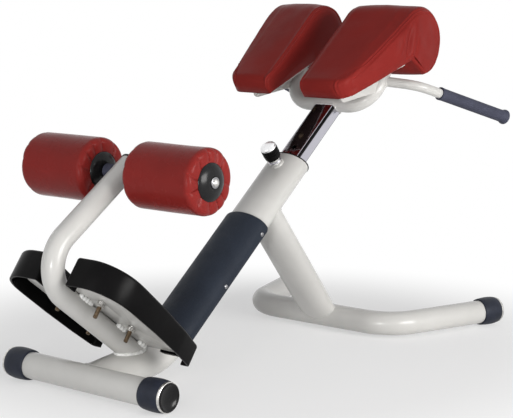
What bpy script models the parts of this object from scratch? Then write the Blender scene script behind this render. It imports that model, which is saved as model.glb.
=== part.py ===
"""Hyperextension bench: a padded hip rest on a sliding chrome post, two ankle rollers and two foot plates.

Lengths below are millimetres. X runs forward from the rear cross tube's axis, Y to the left, Z up from the
floor. point() turns them into metres and moves the origin to the middle of the bench on the floor.
"""
import math

import bmesh
import bpy
from mathutils import Matrix, Vector

# Driving dimensions
MM = 0.001
ORIGIN_X = 562.5
GAP = 0.3
WALL = 3.0
SIDES = 14
ROD_TURN = 3.0

BASE_R = 30.0
BASE_Z = 36.0
REAR_TUBE_HALF = 222.0
REAR_CAP_END = 237.0
FRONT_TUBE_X = 850.0
FRONT_CORNER_Y = 215.0
FRONT_BEND_R = 100.0
FRONT_CAP_END = (1193.0, 323.0)
CAP_LENGTH = 67.0
CAP_FACE = 15.0

BEAM_A = 36.0
BEAM_B = 56.0
BEAM_TILT = math.radians(38.7)
BEAM_TOP = (708.5, 441.0)
BEAM_FOOT_X = 10.0
BEAM_FOOT_Z = 39.0
BEAM_BEND_R = 150.0
PIN_S = -37.0
HOLE_PITCH = 26.0
HOLE_STEPS = 3

STRUT_A = 31.5
STRUT_B = 55.0
POST_WIDE = 66.0
POST_DEEP = 37.0
POST_BOTTOM_S = -225.0
POST_TOP_S = 209.0

ANKLE_R = 25.0
ANKLE_CORNER = (-160.0, 293.2)
ANKLE_BEND_R = 80.0
ANKLE_UP = math.radians(33.9)
AXLE_X = 113.8
AXLE_Z = 473.6
AXLE_R = 10.0
ROLLER_R = 72.0
ROLLER_IN = 60.6
ROLLER_OUT = 250.6

PLATE_T = Vector((0.8, 0.0, -0.6))
PLATE_Q = Vector((0.6, 0.0, 0.8))
PLATE_ORIGIN = (35.0, 0.0, 147.0)
PLATE_BOLT_W = 57.0
PLATE_BOLT_T = (-77.0, 38.0)

CRADLE_R = 17.5
CRADLE_C = (872.5, 0.0, 577.0)
CRADLE_TILT = math.radians(56.0)
CRADLE_HALF = 131.0
CRADLE_BEND_R = 72.0
CRADLE_LEG = 110.0
FLANGE_Y = 134.0
GRIP_LENGTH = 244.0

PAD_IN = 52.0
PAD_NOSE_OUT = 180.0
PAD_ROLL_OUT = 226.0
PAD_LOW = (704.0, 613.0)
PAD_NOSE = (680.0, 643.0)
PAD_SLOPE = 0.398
ROLL_Z = 745.0
ROLL_R = 85.0

LOOKS = {
    "frame_paint": ((0.78, 0.77, 0.75), 0.30, 0.0),
    "chrome": ((0.62, 0.61, 0.64), 0.08, 1.0),
    "zinc": ((0.66, 0.65, 0.62), 0.30, 1.0),
    "vinyl": ((0.23, 0.022, 0.020), 0.42, 0.0),
    "cover": ((0.020, 0.024, 0.034), 0.60, 0.0),
    "black_plastic": ((0.012, 0.012, 0.013), 0.45, 0.0),
    "rubber": ((0.018, 0.021, 0.032), 0.60, 0.0),
    "grip": ((0.075, 0.080, 0.115), 0.65, 0.0),
    "nylon": ((0.75, 0.75, 0.73), 0.45, 0.0),
    "steel": ((0.45, 0.45, 0.46), 0.35, 1.0),
}

# Clear scene and collections
for old in list(bpy.data.objects):
    bpy.data.objects.remove(old, do_unlink=True)
parts = bpy.data.collections.new("hyperextension_bench")
guides = bpy.data.collections.new("hyperextension_bench_cutters")
bpy.context.scene.collection.children.link(parts)
bpy.context.scene.collection.children.link(guides)


def point(x, y, z):
    return Vector(((x - ORIGIN_X) * MM, y * MM, z * MM))


def add(name, data, look):
    obj = bpy.data.objects.new(name, data)
    if look is None:
        guides.objects.link(obj)
        obj.hide_render = True
        obj.display_type = "WIRE"
        return obj
    colour, roughness, metallic = LOOKS[look]
    material = bpy.data.materials.new(name + "_" + look)
    material.use_nodes = True
    shader = material.node_tree.nodes["Principled BSDF"]
    shader.inputs["Base Color"].default_value = (*colour, 1.0)
    shader.inputs["Roughness"].default_value = roughness
    shader.inputs["Metallic"].default_value = metallic
    data.materials.append(material)
    parts.objects.link(obj)
    return obj


def frame(origin, x_axis, y_axis):
    """World matrix whose local X and Y are the given axes and whose origin is a point in millimetres."""
    x_axis = Vector(x_axis).normalized()
    y_axis = Vector(y_axis).normalized()
    z_axis = x_axis.cross(y_axis)
    matrix = Matrix((x_axis, y_axis, z_axis)).transposed().to_4x4()
    matrix.translation = point(*origin)
    return matrix


def axis_frame(origin, axis):
    """World matrix whose local Z runs along the axis."""
    matrix = Vector(axis).to_track_quat("Z", "Y").to_matrix().to_4x4()
    matrix.translation = point(*origin)
    return matrix


def from_curve(obj, look, shade=True):
    """Turn a curve object into a mesh object with its caps welded on."""
    bpy.context.view_layer.update()
    graph = bpy.context.evaluated_depsgraph_get()
    mesh = bpy.data.meshes.new_from_object(obj.evaluated_get(graph))
    work = bmesh.new()
    work.from_mesh(mesh)
    bmesh.ops.remove_doubles(work, verts=work.verts, dist=0.00001)
    bmesh.ops.recalc_face_normals(work, faces=work.faces)
    work.to_mesh(mesh)
    work.free()
    mesh.materials.clear()
    if shade:
        mesh.shade_smooth()
        mesh.set_sharp_from_angle(angle=math.radians(35))
    name = obj.name
    matrix = obj.matrix_world.copy()
    bpy.data.objects.remove(obj, do_unlink=True)
    solid = add(name, mesh, look)
    solid.matrix_world = matrix
    return solid


def prism(name, loops, length, matrix, look):
    """Flat outline, with any holes as further loops, raised along local Z from 0 to length."""
    curve = bpy.data.curves.new(name, "CURVE")
    curve.dimensions = "2D"
    curve.fill_mode = "BOTH"
    curve.extrude = 0.5 * length * MM
    for loop in loops:
        spline = curve.splines.new("POLY")
        spline.points.add(len(loop) - 1)
        for node, (x, y) in zip(spline.points, loop):
            node.co = (x * MM, y * MM, 0.0, 1.0)
        spline.use_cyclic_u = True
    obj = bpy.data.objects.new(name, curve)
    guides.objects.link(obj)
    obj.matrix_world = matrix @ Matrix.Translation((0.0, 0.0, 0.5 * length * MM))
    return from_curve(obj, look)


def fillet(points, radii, steps):
    """Path through the points with each inner corner replaced by an arc."""
    path = [Vector(points[0])]
    for before, corner, after, radius in zip(points, points[1:], points[2:], radii):
        corner = Vector(corner)
        back = (Vector(before) - corner).normalized()
        ahead = (Vector(after) - corner).normalized()
        half = 0.5 * back.angle(ahead)
        start = corner + back * (radius / math.tan(half))
        centre = corner + (back + ahead).normalized() * (radius / math.sin(half))
        first = (start - centre).normalized()
        side = (-back - first * (-back).dot(first)).normalized()
        sweep_angle = math.pi - 2.0 * half
        for step in range(steps + 1):
            angle = sweep_angle * step / steps
            path.append(centre + (first * math.cos(angle) + side * math.sin(angle)) * radius)
    path.append(Vector(points[-1]))
    return path


def round_corners(loop, radii, steps=4):
    """Closed flat outline with each corner rounded by its own radius; radius 0 keeps it sharp."""
    count = len(loop)
    out = []
    for index, radius in enumerate(radii):
        before, corner, after = (Vector((*loop[(index + k) % count], 0.0)) for k in (-1, 0, 1))
        if radius == 0:
            out.append((corner.x, corner.y))
            continue
        arc = fillet([before, corner, after], [radius], steps)[1:-1]
        out.extend((spot.x, spot.y) for spot in arc)
    return out


def ellipse(half_y, half_n, sides=SIDES + 4):
    turn = 2.0 * math.pi / sides
    return [(half_y * math.cos(turn * k), half_n * math.sin(turn * k)) for k in range(sides)]


def rounded_box(wide, deep, radius, steps=3):
    x, y = 0.5 * wide, 0.5 * deep
    return round_corners([(x, -y), (x, y), (-x, y), (-x, -y)], [radius] * 4, steps)


def sweep(name, path, radius, look, section=None, wall=0.0, sides=SIDES):
    """Tube along a path: round with the radius, or with a flat section; hollow when a wall is given."""
    curve = bpy.data.curves.new(name, "CURVE")
    curve.dimensions = "3D"
    curve.twist_mode = "Z_UP" if section else "MINIMUM"
    curve.use_fill_caps = wall == 0
    curve.resolution_u = 1
    curve.render_resolution_u = 0
    spline = curve.splines.new("POLY")
    spline.points.add(len(path) - 1)
    for node, spot in zip(spline.points, path):
        node.co = (*point(*spot), 1.0)
    rim = None
    if section is None:
        curve.bevel_depth = radius * MM
        curve.bevel_resolution = (sides - 4) // 2
    else:
        outline = bpy.data.curves.new(name + "_section", "CURVE")
        outline.dimensions = "2D"
        ring = outline.splines.new("POLY")
        ring.points.add(len(section) - 1)
        for node, (x, y) in zip(ring.points, section):
            node.co = (x * MM, y * MM, 0.0, 1.0)
        ring.use_cyclic_u = True
        rim = bpy.data.objects.new(name + "_section", outline)
        guides.objects.link(rim)
        curve.bevel_mode = "OBJECT"
        curve.bevel_object = rim
    obj = bpy.data.objects.new(name, curve)
    guides.objects.link(obj)
    solid = from_curve(obj, look)
    if rim is not None:
        bpy.data.objects.remove(rim, do_unlink=True)
    if wall:
        face = solid.data.polygons[0]
        nearest = min((point(*spot) for spot in path), key=lambda spot: (spot - face.center).length)
        if (face.center - nearest).dot(face.normal) < 0.0:
            solid.data.flip_normals()
        shell = solid.modifiers.new("wall", "SOLIDIFY")
        shell.thickness = wall * MM
        shell.offset = -1.0
        shell.use_even_offset = True
    return solid


def turned(name, profile, matrix, look, steps=SIDES, closed=False):
    """Turned piece: (radius, height) pairs run down the outer side, top to bottom, about local Z."""
    mesh = bpy.data.meshes.new(name)
    work = bmesh.new()
    spots = [work.verts.new((radius * MM, 0.0, height * MM)) for radius, height in profile]
    for upper, lower in zip(spots, spots[1:]):
        work.edges.new((upper, lower))
    if closed:
        work.edges.new((spots[-1], spots[0]))
    work.to_mesh(mesh)
    work.free()
    obj = add(name, mesh, look)
    obj.matrix_world = matrix
    spin = obj.modifiers.new("turn", "SCREW")
    spin.axis = "Z"
    spin.steps = steps
    spin.render_steps = steps
    spin.use_merge_vertices = True
    spin.merge_threshold = 0.00002
    spin.use_smooth_shade = True
    return obj


def rod(name, start, end, radius, look=None, sides=32):
    """Plain cylinder between two points."""
    start, end = point(*start), point(*end)
    mesh = bpy.data.meshes.new(name)
    work = bmesh.new()
    length = (end - start).length
    bmesh.ops.create_cone(
        work, cap_ends=True, segments=sides, radius1=radius * MM, radius2=radius * MM, depth=length
    )
    work.to_mesh(mesh)
    work.free()
    obj = add(name, mesh, look)
    matrix = (end - start).to_track_quat("Z", "Y").to_matrix().to_4x4()
    matrix = matrix @ Matrix.Rotation(math.radians(ROD_TURN), 4, "Z")
    matrix.translation = 0.5 * (start + end)
    obj.matrix_world = matrix
    return obj


def block(name, centre, size, matrix=None, look=None):
    """Plain box about a centre, in the given frame's axes."""
    mesh = bpy.data.meshes.new(name)
    work = bmesh.new()
    bmesh.ops.create_cube(work, size=1.0)
    for vert in work.verts:
        vert.co = Vector([(c + v * s) * MM for c, v, s in zip(centre, vert.co, size)])
    work.to_mesh(mesh)
    work.free()
    obj = add(name, mesh, look)
    if matrix is None:
        matrix = Matrix.Translation(point(0.0, 0.0, 0.0))
    obj.matrix_world = matrix
    return obj


def boolean(obj, other, operation="DIFFERENCE"):
    step = obj.modifiers.new(operation.lower(), "BOOLEAN")
    step.operation = operation
    step.solver = "EXACT"
    step.object = other
    return obj


def moving(name, location, *objects):
    """Parent the objects to an empty that stands on their joint's axis."""
    empty = bpy.data.objects.new(name, None)
    parts.objects.link(empty)
    empty.location = location
    bpy.context.view_layer.update()
    for obj in objects:
        obj.parent = empty
        obj.matrix_parent_inverse = empty.matrix_world.inverted()
    return empty


# Directions of the sloping beam: along it, and square to its top
ALONG = Vector((math.cos(BEAM_TILT), 0.0, math.sin(BEAM_TILT)))
ABOVE = Vector((-math.sin(BEAM_TILT), 0.0, math.cos(BEAM_TILT)))
LEFT = Vector((0.0, 1.0, 0.0))


def rail(s, n=0.0, y=0.0):
    """Point s along the beam from its upper end, n above its axis."""
    spot = Vector((BEAM_TOP[0], 0.0, BEAM_TOP[1])) + ALONG * s + ABOVE * n
    return (spot.x, y, spot.z)


def rail_frame(s, n=0.0):
    return frame(rail(s, n), LEFT, ABOVE)


def stem_frame(s, n=0.0):
    """Frame on the pull pin's axis: local Z points out of the beam's top."""
    return frame(rail(s, n), ALONG, -LEFT) if ALONG.cross(-LEFT).dot(ABOVE) > 0 else frame(rail(s, n), ALONG, LEFT)


def plate_point(t, w, q):
    spot = Vector(PLATE_ORIGIN) + PLATE_T * t + PLATE_Q * q
    return (spot.x, w, spot.z)


def plate_frame(q=0.0):
    return frame(plate_point(0.0, 0.0, q), PLATE_T, LEFT)


# Rear cross tube
rear_tube = sweep(
    "rear_cross_tube",
    [(0.0, -REAR_TUBE_HALF, BASE_Z), (0.0, REAR_TUBE_HALF, BASE_Z)],
    BASE_R,
    "frame_paint",
    wall=WALL,
)
rear_cut = rod("rear_tube_cut", (0.0, -120.0, BASE_Z), (0.0, 120.0, BASE_Z), BASE_R + GAP)

# Front base tube: a cross part with two arms that run forward and outward
arm = Vector((FRONT_CAP_END[0] - FRONT_TUBE_X, FRONT_CAP_END[1] - FRONT_CORNER_Y, 0.0)).normalized()
arm_end = Vector((*FRONT_CAP_END, BASE_Z)) - arm * CAP_FACE
front_path = fillet(
    [
        (arm_end.x, -arm_end.y, BASE_Z),
        (FRONT_TUBE_X, -FRONT_CORNER_Y, BASE_Z),
        (FRONT_TUBE_X, FRONT_CORNER_Y, BASE_Z),
        (arm_end.x, arm_end.y, BASE_Z),
    ],
    [FRONT_BEND_R, FRONT_BEND_R],
    4,
)
front_tube = sweep("front_base_tube", front_path, BASE_R, "frame_paint", wall=WALL)
front_cut = rod("front_tube_cut", (FRONT_TUBE_X, -120.0, BASE_Z), (FRONT_TUBE_X, 120.0, BASE_Z), BASE_R + GAP)

# Foot caps: thick rubber cups with a bellied side and a dished end face
CAP_BORE = (BASE_R + GAP) / math.cos(math.pi / 16)
CAP_PROFILE = [
    (0.0, 62.8),
    (28.0, 66.8),
    (33.6, 60.5),
    (35.4, 49.0),
    (36.0, 34.0),
    (35.0, 15.0),
    (32.4, 0.0),
    (CAP_BORE, 0.0),
    (CAP_BORE, CAP_LENGTH - CAP_FACE + GAP),
    (0.0, CAP_LENGTH - CAP_FACE + GAP),
]
for side, sign in (("left", 1.0), ("right", -1.0)):
    lip = (0.0, sign * (REAR_CAP_END - CAP_LENGTH), BASE_Z)
    turned("foot_cap_rear_" + side, CAP_PROFILE, axis_frame(lip, (0.0, sign, 0.0)), "rubber", steps=16)
    out = Vector((arm.x, sign * arm.y, 0.0))
    lip = Vector((FRONT_CAP_END[0], sign * FRONT_CAP_END[1], BASE_Z)) - out * CAP_LENGTH
    turned("foot_cap_front_" + side, CAP_PROFILE, axis_frame(tuple(lip), out), "rubber", steps=16)

# Main beam: one oval tube, level at the rear where its end is pressed down to the cross tube's height
foot_run = (BEAM_TOP[1] - BEAM_FOOT_Z) / math.sin(BEAM_TILT)
beam_corner = (BEAM_TOP[0] - foot_run * math.cos(BEAM_TILT), 0.0, BEAM_FOOT_Z)
PRESS_FROM = 150.0
PRESS_DEPTH = 0.17


def beam_path(extra):
    upper = Vector((BEAM_TOP[0], 0.0, BEAM_TOP[1])) + ALONG * extra
    level = [(BEAM_FOOT_X + k * 40.0, 0.0, BEAM_FOOT_Z) for k in range(4)]
    return level[:-1] + fillet([level[-1], beam_corner, upper], [BEAM_BEND_R], 5)


def press_end(obj):
    """Lower the oval's top towards its rear end, keeping its bottom line."""
    bottom = (BEAM_FOOT_Z - BEAM_A) * MM
    for vert in obj.data.vertices:
        world = obj.matrix_world @ vert.co
        reach = PRESS_FROM - (world.x / MM + ORIGIN_X)
        if reach <= 0.0:
            continue
        ease = min(reach / (PRESS_FROM - BEAM_FOOT_X), 1.0)
        ease = ease * ease * (3.0 - 2.0 * ease)
        world.z = bottom + (world.z - bottom) * (1.0 - PRESS_DEPTH * ease)
        vert.co = obj.matrix_world.inverted() @ world
    return obj


main_beam = sweep("main_beam", beam_path(0.0), 0.0, "frame_paint", ellipse(BEAM_B, BEAM_A), WALL)
press_end(main_beam)
boolean(main_beam, rear_cut)
beam_cut = sweep("beam_cut", beam_path(0.0), 0.0, None, ellipse(BEAM_B + GAP, BEAM_A + GAP))
press_end(beam_cut)
pin_hole = rod("pin_hole", rail(PIN_S, 15.5), rail(PIN_S, 45.0), 6.6, sides=16)
boolean(main_beam, pin_hole)

# Front strut: an oval tube from the beam's underside down to the front base tube
STRUT_DIR = Vector((0.643, 0.0, -0.766)).normalized()
STRUT_FRONT = Vector((0.766, 0.0, 0.643)).normalized()
strut_start = Vector((718.7, 0.0, 192.0))
to_beam = (Vector(rail(-150.0)) - strut_start).dot(STRUT_DIR)
to_base = (Vector((FRONT_TUBE_X, 0.0, BASE_Z)) - strut_start).dot(STRUT_DIR)
strut_top = strut_start + STRUT_DIR * to_beam
strut_foot = strut_start + STRUT_DIR * to_base
strut_path = [strut_foot - STRUT_DIR * up for up in (110.0, 72.0, 34.0, 0.0)]
strut_path.insert(0, strut_top)
front_strut = sweep("front_strut", strut_path, 0.0, "frame_paint", ellipse(STRUT_B, STRUT_A), WALL)
# The lower end is pressed to land on the tube
foot_line = Vector(point(*strut_foot))
tube_line = Vector(point(FRONT_TUBE_X, 0.0, BASE_Z))
for vert in front_strut.data.vertices:
    up = -(vert.co - foot_line).dot(STRUT_DIR) / MM
    if up < 110.0:
        ease = 1.0 - up / 110.0
        ease = ease * ease * (3.0 - 2.0 * ease)
        across = (vert.co - foot_line).dot(STRUT_FRONT)
        goal = (tube_line - foot_line).dot(STRUT_FRONT) + across * 27.5 / STRUT_A
        vert.co += STRUT_FRONT * ((goal - across) * ease)
boolean(front_strut, beam_cut)
boolean(front_strut, front_cut)

# Ankle post: a round tube bent back over the rear of the beam
low_foot = (35.0 + 0.8 * 165.0, 0.0, 147.0 - 0.6 * 165.0)
up_dir = Vector((math.cos(ANKLE_UP), 0.0, math.sin(ANKLE_UP)))
ankle_top = Vector((AXLE_X, 0.0, AXLE_Z)) + up_dir * 32.0
corner_run = (AXLE_Z - ANKLE_CORNER[1]) / math.sin(ANKLE_UP)
ankle_corner = Vector((AXLE_X, 0.0, AXLE_Z)) - up_dir * corner_run
ankle_path = fillet([low_foot, tuple(ankle_corner), tuple(ankle_top)], [ANKLE_BEND_R], 6)
ankle_post = sweep("ankle_post", ankle_path, ANKLE_R, "frame_paint", wall=WALL)
ankle_cut = sweep("ankle_cut", ankle_path, ANKLE_R + GAP, None)
axle_cut = rod("axle_cut", (AXLE_X, -60.0, AXLE_Z), (AXLE_X, 60.0, AXLE_Z), AXLE_R + GAP, sides=20)
boolean(ankle_post, axle_cut)
boolean(ankle_post, beam_cut)
turned(
    "ankle_post_plug",
    [(0.0, 7.0), (14.0, 6.0), (22.0, 3.6), (25.0, GAP), (21.6, GAP), (21.6, -6.0), (0.0, -6.0)],
    axis_frame(tuple(ankle_top), up_dir),
    "black_plastic",
)

# Beam cover: a textured saddle moulding over the top and sides of the sloping beam
COVER_OUT = (63.0, 42.5)
COVER_DROP = math.radians(20.0)
COVER_S = (-588.0, -210.0)
cover_steps = 16
outer_arc = []
inner_arc = []
for k in range(cover_steps + 1):
    angle = -COVER_DROP + (math.pi + 2.0 * COVER_DROP) * k / cover_steps
    outer_arc.append((COVER_OUT[0] * math.cos(angle), COVER_OUT[1] * math.sin(angle)))
    inner_arc.append(((BEAM_B - 1.0) * math.cos(angle), (BEAM_A - 1.0) * math.sin(angle)))
cover = prism(
    "beam_cover",
    [outer_arc + inner_arc[::-1]],
    COVER_S[1] - COVER_S[0],
    rail_frame(COVER_S[0]),
    "cover",
)
boolean(cover, beam_cut)
COVER_LOW = -COVER_OUT[1] * math.sin(COVER_DROP)
for tag, s_end, inward in (("low", COVER_S[0], 1.0), ("high", COVER_S[1], -1.0)):
    radius = 14.0
    sweep_side = [(-2.0 * inward, COVER_LOW - 2.0), (radius * inward, COVER_LOW - 2.0)]
    for k in range(7):
        angle = math.radians(15.0 * k)
        sweep_side.append(
            (
                inward * (radius - radius * math.sin(angle)),
                COVER_LOW + radius - radius * math.cos(angle),
            )
        )
    sweep_side.append((-2.0 * inward, COVER_LOW + radius))
    corner = prism("cover_corner_" + tag, [sweep_side], 150.0, frame(rail(s_end, 0.0, 75.0), ALONG, ABOVE), None)
    boolean(cover, corner)

# Guide bush in the beam's open end: the chrome post slides through it
bush = prism(
    "guide_bush",
    [ellipse(52.6, 32.6), rounded_box(POST_WIDE + 2 * GAP, POST_DEEP + 2 * GAP, 9.3)],
    110.0 + GAP + 0.5,
    rail_frame(-110.0),
    "black_plastic",
)
lip = prism(
    "bush_lip",
    [ellipse(57.0, 37.0), rounded_box(POST_WIDE + 2 * GAP, POST_DEEP + 2 * GAP, 9.3)],
    3.0,
    rail_frame(GAP),
    None,
)
boolean(bush, lip, "UNION")
boolean(bush, pin_hole)

# Chrome post: a rounded-square tube, closed at the top, with one row of height holes
post = prism(
    "chrome_post",
    [rounded_box(POST_WIDE, POST_DEEP, 9.0)],
    POST_TOP_S - POST_BOTTOM_S,
    rail_frame(POST_BOTTOM_S),
    "chrome",
)
post_core = prism(
    "post_core",
    [rounded_box(POST_WIDE - 2 * WALL, POST_DEEP - 2 * WALL, 6.0)],
    190.0 - POST_BOTTOM_S + 1.0,
    rail_frame(POST_BOTTOM_S - 1.0),
    None,
)
boolean(post, post_core)
for k in range(-HOLE_STEPS, HOLE_STEPS + 1):
    s = PIN_S + HOLE_PITCH * k
    hole = rod("post_hole_%d" % (k + HOLE_STEPS), rail(s, 10.0), rail(s, 25.0), 6.6, sides=8)
    boolean(post, hole)

# Slider shoe plugged into the post's lower end
shoe = prism("post_shoe", [ellipse(52.4, 32.4)], 40.0, rail_frame(POST_BOTTOM_S - GAP - 40.0), "black_plastic")
spigot = prism(
    "shoe_spigot",
    [rounded_box(POST_WIDE - 2 * WALL - 2 * GAP, POST_DEEP - 2 * WALL - 2 * GAP, 5.7)],
    25.0,
    rail_frame(POST_BOTTOM_S - 3.0),
    None,
)
boolean(shoe, spigot, "UNION")

# Cradle tube: a U that carries both pads, its plane leaning with the pads
RISE = Vector((math.cos(CRADLE_TILT), 0.0, math.sin(CRADLE_TILT)))


def cradle(u, y):
    spot = Vector(CRADLE_C) + RISE * u
    return (spot.x, y, spot.z)



def cradle_path(extra):
    corners = [
        cradle(CRADLE_LEG + extra, -CRADLE_HALF),
        cradle(0.0, -CRADLE_HALF),
        cradle(0.0, CRADLE_HALF),
        cradle(CRADLE_LEG + extra, CRADLE_HALF),
    ]
    return fillet(corners, [CRADLE_BEND_R, CRADLE_BEND_R], 4)


cradle_tube = sweep("cradle_tube", cradle_path(0.0), CRADLE_R, "frame_paint", wall=2.5, sides=12)
cradle_cut = sweep("cradle_cut", cradle_path(2 * GAP), CRADLE_R + 2 * GAP, None, sides=12)
boolean(post, cradle_cut)

# Pads: lofted between an inner and an outer profile; the roll at the front leans outward
def pad_profile(shift, draw):
    """Profile from the low nose corner over the top, round the roll and back; draw pulls the nose forward."""
    centre = Vector((965.0 + shift, ROLL_Z, 0.0))
    low = Vector((PAD_LOW[0] + draw, PAD_LOW[1] + PAD_SLOPE * draw, 0.0))
    nose = Vector((PAD_NOSE[0] + draw, PAD_NOSE[1] + PAD_SLOPE * draw, 0.0))
    reach = centre - nose
    tilt = math.atan2(reach.y, reach.x) + math.asin(ROLL_R / reach.length)
    touch = tilt + math.pi / 2.0
    tangent = centre + Vector((math.cos(touch), math.sin(touch), 0.0)) * ROLL_R
    rows = fillet([low, nose, tangent], [24.0], 6)[:-1]
    bottom = math.radians(-84.6)
    for k in range(15):
        angle = touch + (bottom - touch) * k / 14
        rows.append(centre + Vector((math.cos(angle), math.sin(angle), 0.0)) * ROLL_R)
    notch_x = 920.0 + shift
    notch = Vector((notch_x, PAD_LOW[1] + PAD_SLOPE * (notch_x - PAD_LOW[0]), 0.0))
    rows.extend(fillet([rows[-1], notch, low], [10.0], 3)[1:-1])
    return [(row.x, row.y) for row in rows]


def pad_outer_y(x):
    share = min(max((x - PAD_NOSE[0]) / (930.0 - PAD_NOSE[0]), 0.0), 1.0)
    bulge = 6.0 * math.sin(math.pi * share)
    return PAD_NOSE_OUT + (PAD_ROLL_OUT - PAD_NOSE_OUT) * share + bulge


def make_pad(name, sign):
    mesh = bpy.data.meshes.new(name)
    work = bmesh.new()
    rows = []
    # sections from the inner end to the outer one, where the nose turns forward in a wide curve
    for shift, draw, inset in ((-37.0, 0.0, None), (-7.0, 0.0, 32.0), (-2.0, 5.0, 12.0), (0.0, 21.0, 0.0)):
        row = []
        for x, z in pad_profile(shift, draw):
            y = PAD_IN if inset is None else pad_outer_y(x - draw) - inset
            row.append(work.verts.new(point(x, sign * y, z)))
        rows.append(row)
    near, far = rows[0], rows[-1]
    count = len(near)
    for one, two in zip(rows, rows[1:]):
        for k in range(count):
            after = (k + 1) % count
            work.faces.new((one[k], one[after], two[after], two[k]))
    work.faces.new(near)
    work.faces.new(far)
    bmesh.ops.recalc_face_normals(work, faces=work.faces)
    weight = work.edges.layers.float.new("bevel_weight_edge")
    for row in (near, far):
        for k in range(count):
            edge = work.edges.get((row[k], row[(k + 1) % count]))
            edge[weight] = 1.0
    work.to_mesh(mesh)
    work.free()
    pad = add(name, mesh, "vinyl")
    soft = pad.modifiers.new("seam", "BEVEL")
    soft.limit_method = "WEIGHT"
    soft.width = 9.0 * MM
    soft.segments = 2
    return pad


# Pad plates: a board under each pad with a deep side flange that comes down to the cradle
BASE_DIR = Vector((1.0, 0.0, PAD_SLOPE)).normalized()
BASE_UP = Vector((-PAD_SLOPE, 0.0, 1.0)).normalized()
PLATE_THICK = 5.0
FLANGE_TIP = 14.0


def base_z(x, drop=0.0):
    return PAD_LOW[1] + PAD_SLOPE * (x - PAD_LOW[0]) - drop / BASE_UP.z


def base_point(x, y, drop):
    return (x, y, base_z(x, drop))


pads = []
plates = []
handles = []
grips = []
bolts = []
for side, sign in (("left", 1.0), ("right", -1.0)):
    pad = make_pad("pad_" + side, sign)
    pads.append(pad)
    # the board's outline lies in the base plane: along the slope, then across
    board_frame = frame(base_point(PAD_LOW[0], 0.0, PLATE_THICK + GAP), BASE_DIR, LEFT)
    scale = 1.0 / BASE_DIR.x
    outline = [
        (28.0 * scale, sign * 64.0),
        (172.0 * scale, sign * 64.0),
        (206.0 * scale, sign * 214.0),
        (150.0 * scale, sign * 196.0),
        (28.0 * scale, sign * 146.0),
    ]
    board = prism(
        "pad_plate_" + side,
        [round_corners(outline, [8.0, 8.0, 8.0, 0, 8.0], 3)],
        PLATE_THICK,
        board_frame,
        "frame_paint",
    )
    top_drop = 1.5
    flange_outline = [
        (734.0, base_z(734.0, top_drop)),
        (734.0, 596.0),
        (890.0, 617.0),
        (908.0, 644.0),
        (908.0, 668.0),
        (892.0, base_z(892.0, top_drop)),
    ]
    flange_frame = frame((0.0, sign * FLANGE_Y + 2.5, 0.0), (1.0, 0.0, 0.0), (0.0, 0.0, 1.0))
    flange = prism(
        "flange_" + side,
        [round_corners(flange_outline, [4.0, FLANGE_TIP, 0, 0, 4.0, 4.0], 4)],
        5.0,
        flange_frame,
        None,
    )
    boolean(board, flange, "UNION")
    boolean(board, cradle_cut)
    flange_hole = rod(
        "flange_hole_" + side, (744.0, sign * 120.0, 609.0), (744.0, sign * 148.0, 609.0), 2.6, sides=12
    )
    boolean(board, flange_hole)
    plates.append(board)
    # bolts up through the board into the pad
    for tag, bolt_x in (("rear", 770.0), ("front", 850.0)):
        bolt_y = sign * 98.0
        under = base_point(bolt_x, bolt_y, 0.0)
        bolt = turned(
            "pad_bolt_%s_%s" % (side, tag),
            [
                (0.0, 12.0),
                (3.7, 12.0),
                (3.7, -5.6),
                (8.0, -5.6),
                (8.0, -7.2),
                (6.4, -7.2),
                (6.0, -11.0),
                (0.0, -11.4),
            ],
            axis_frame(under, BASE_UP),
            "zinc",
            steps=10,
        )
        bolts.append(bolt)
        lower = Vector(under) - BASE_UP * 20.0
        upper = Vector(under) + BASE_UP * 13.0
        bore = rod("pad_bolt_bore_%s_%s" % (side, tag), tuple(lower), tuple(upper), 4.1, sides=12)
        boolean(board, bore)
        boolean(pad, bore)
    # handles: a bent tube off each cradle leg with a soft grip on its straight end
    handle_corner = Vector((949.0, sign * 221.0, 633.5))
    grip_end = Vector((1241.0, sign * 307.0, 541.0))
    reach = (grip_end - handle_corner).normalized()
    grip_start = grip_end - reach * GRIP_LENGTH
    handle_path = fillet(
        [
            (917.0, sign * CRADLE_HALF, 643.0),
            tuple(handle_corner),
            tuple(grip_end - reach * 8.0),
        ],
        [70.0],
        4,
    )
    handle = sweep("handle_tube_" + side, handle_path, 12.5, "frame_paint", wall=2.5, sides=12)
    boolean(handle, cradle_cut)
    handles.append(handle)
    length = GRIP_LENGTH
    grip = turned(
        "grip_" + side,
        [
            (0.0, length),
            (13.0, length),
            (18.0, length - 1.4),
            (19.6, length - 5.0),
            (17.2, length - 12.0),
            (16.0, length - 20.0),
            (16.0, 12.0),
            (17.0, 0.0),
            (13.1, 0.0),
            (13.1, length - 7.5),
            (0.0, length - 7.5),
        ],
        axis_frame(tuple(grip_start), reach),
        "grip",
        steps=12,
    )
    grips.append(grip)

# Foot plates: moulded trays, open below, that slope down towards their front end
TOP_REAR = 76.0
TOP_FALL = (76.0 - 54.0) / (162.0 + 183.0)
TOP_ANGLE = math.atan(TOP_FALL)
RIM_REAR = 9.0
RIM_FALL = 6.0 / 340.0
SKIN = 6.0


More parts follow.
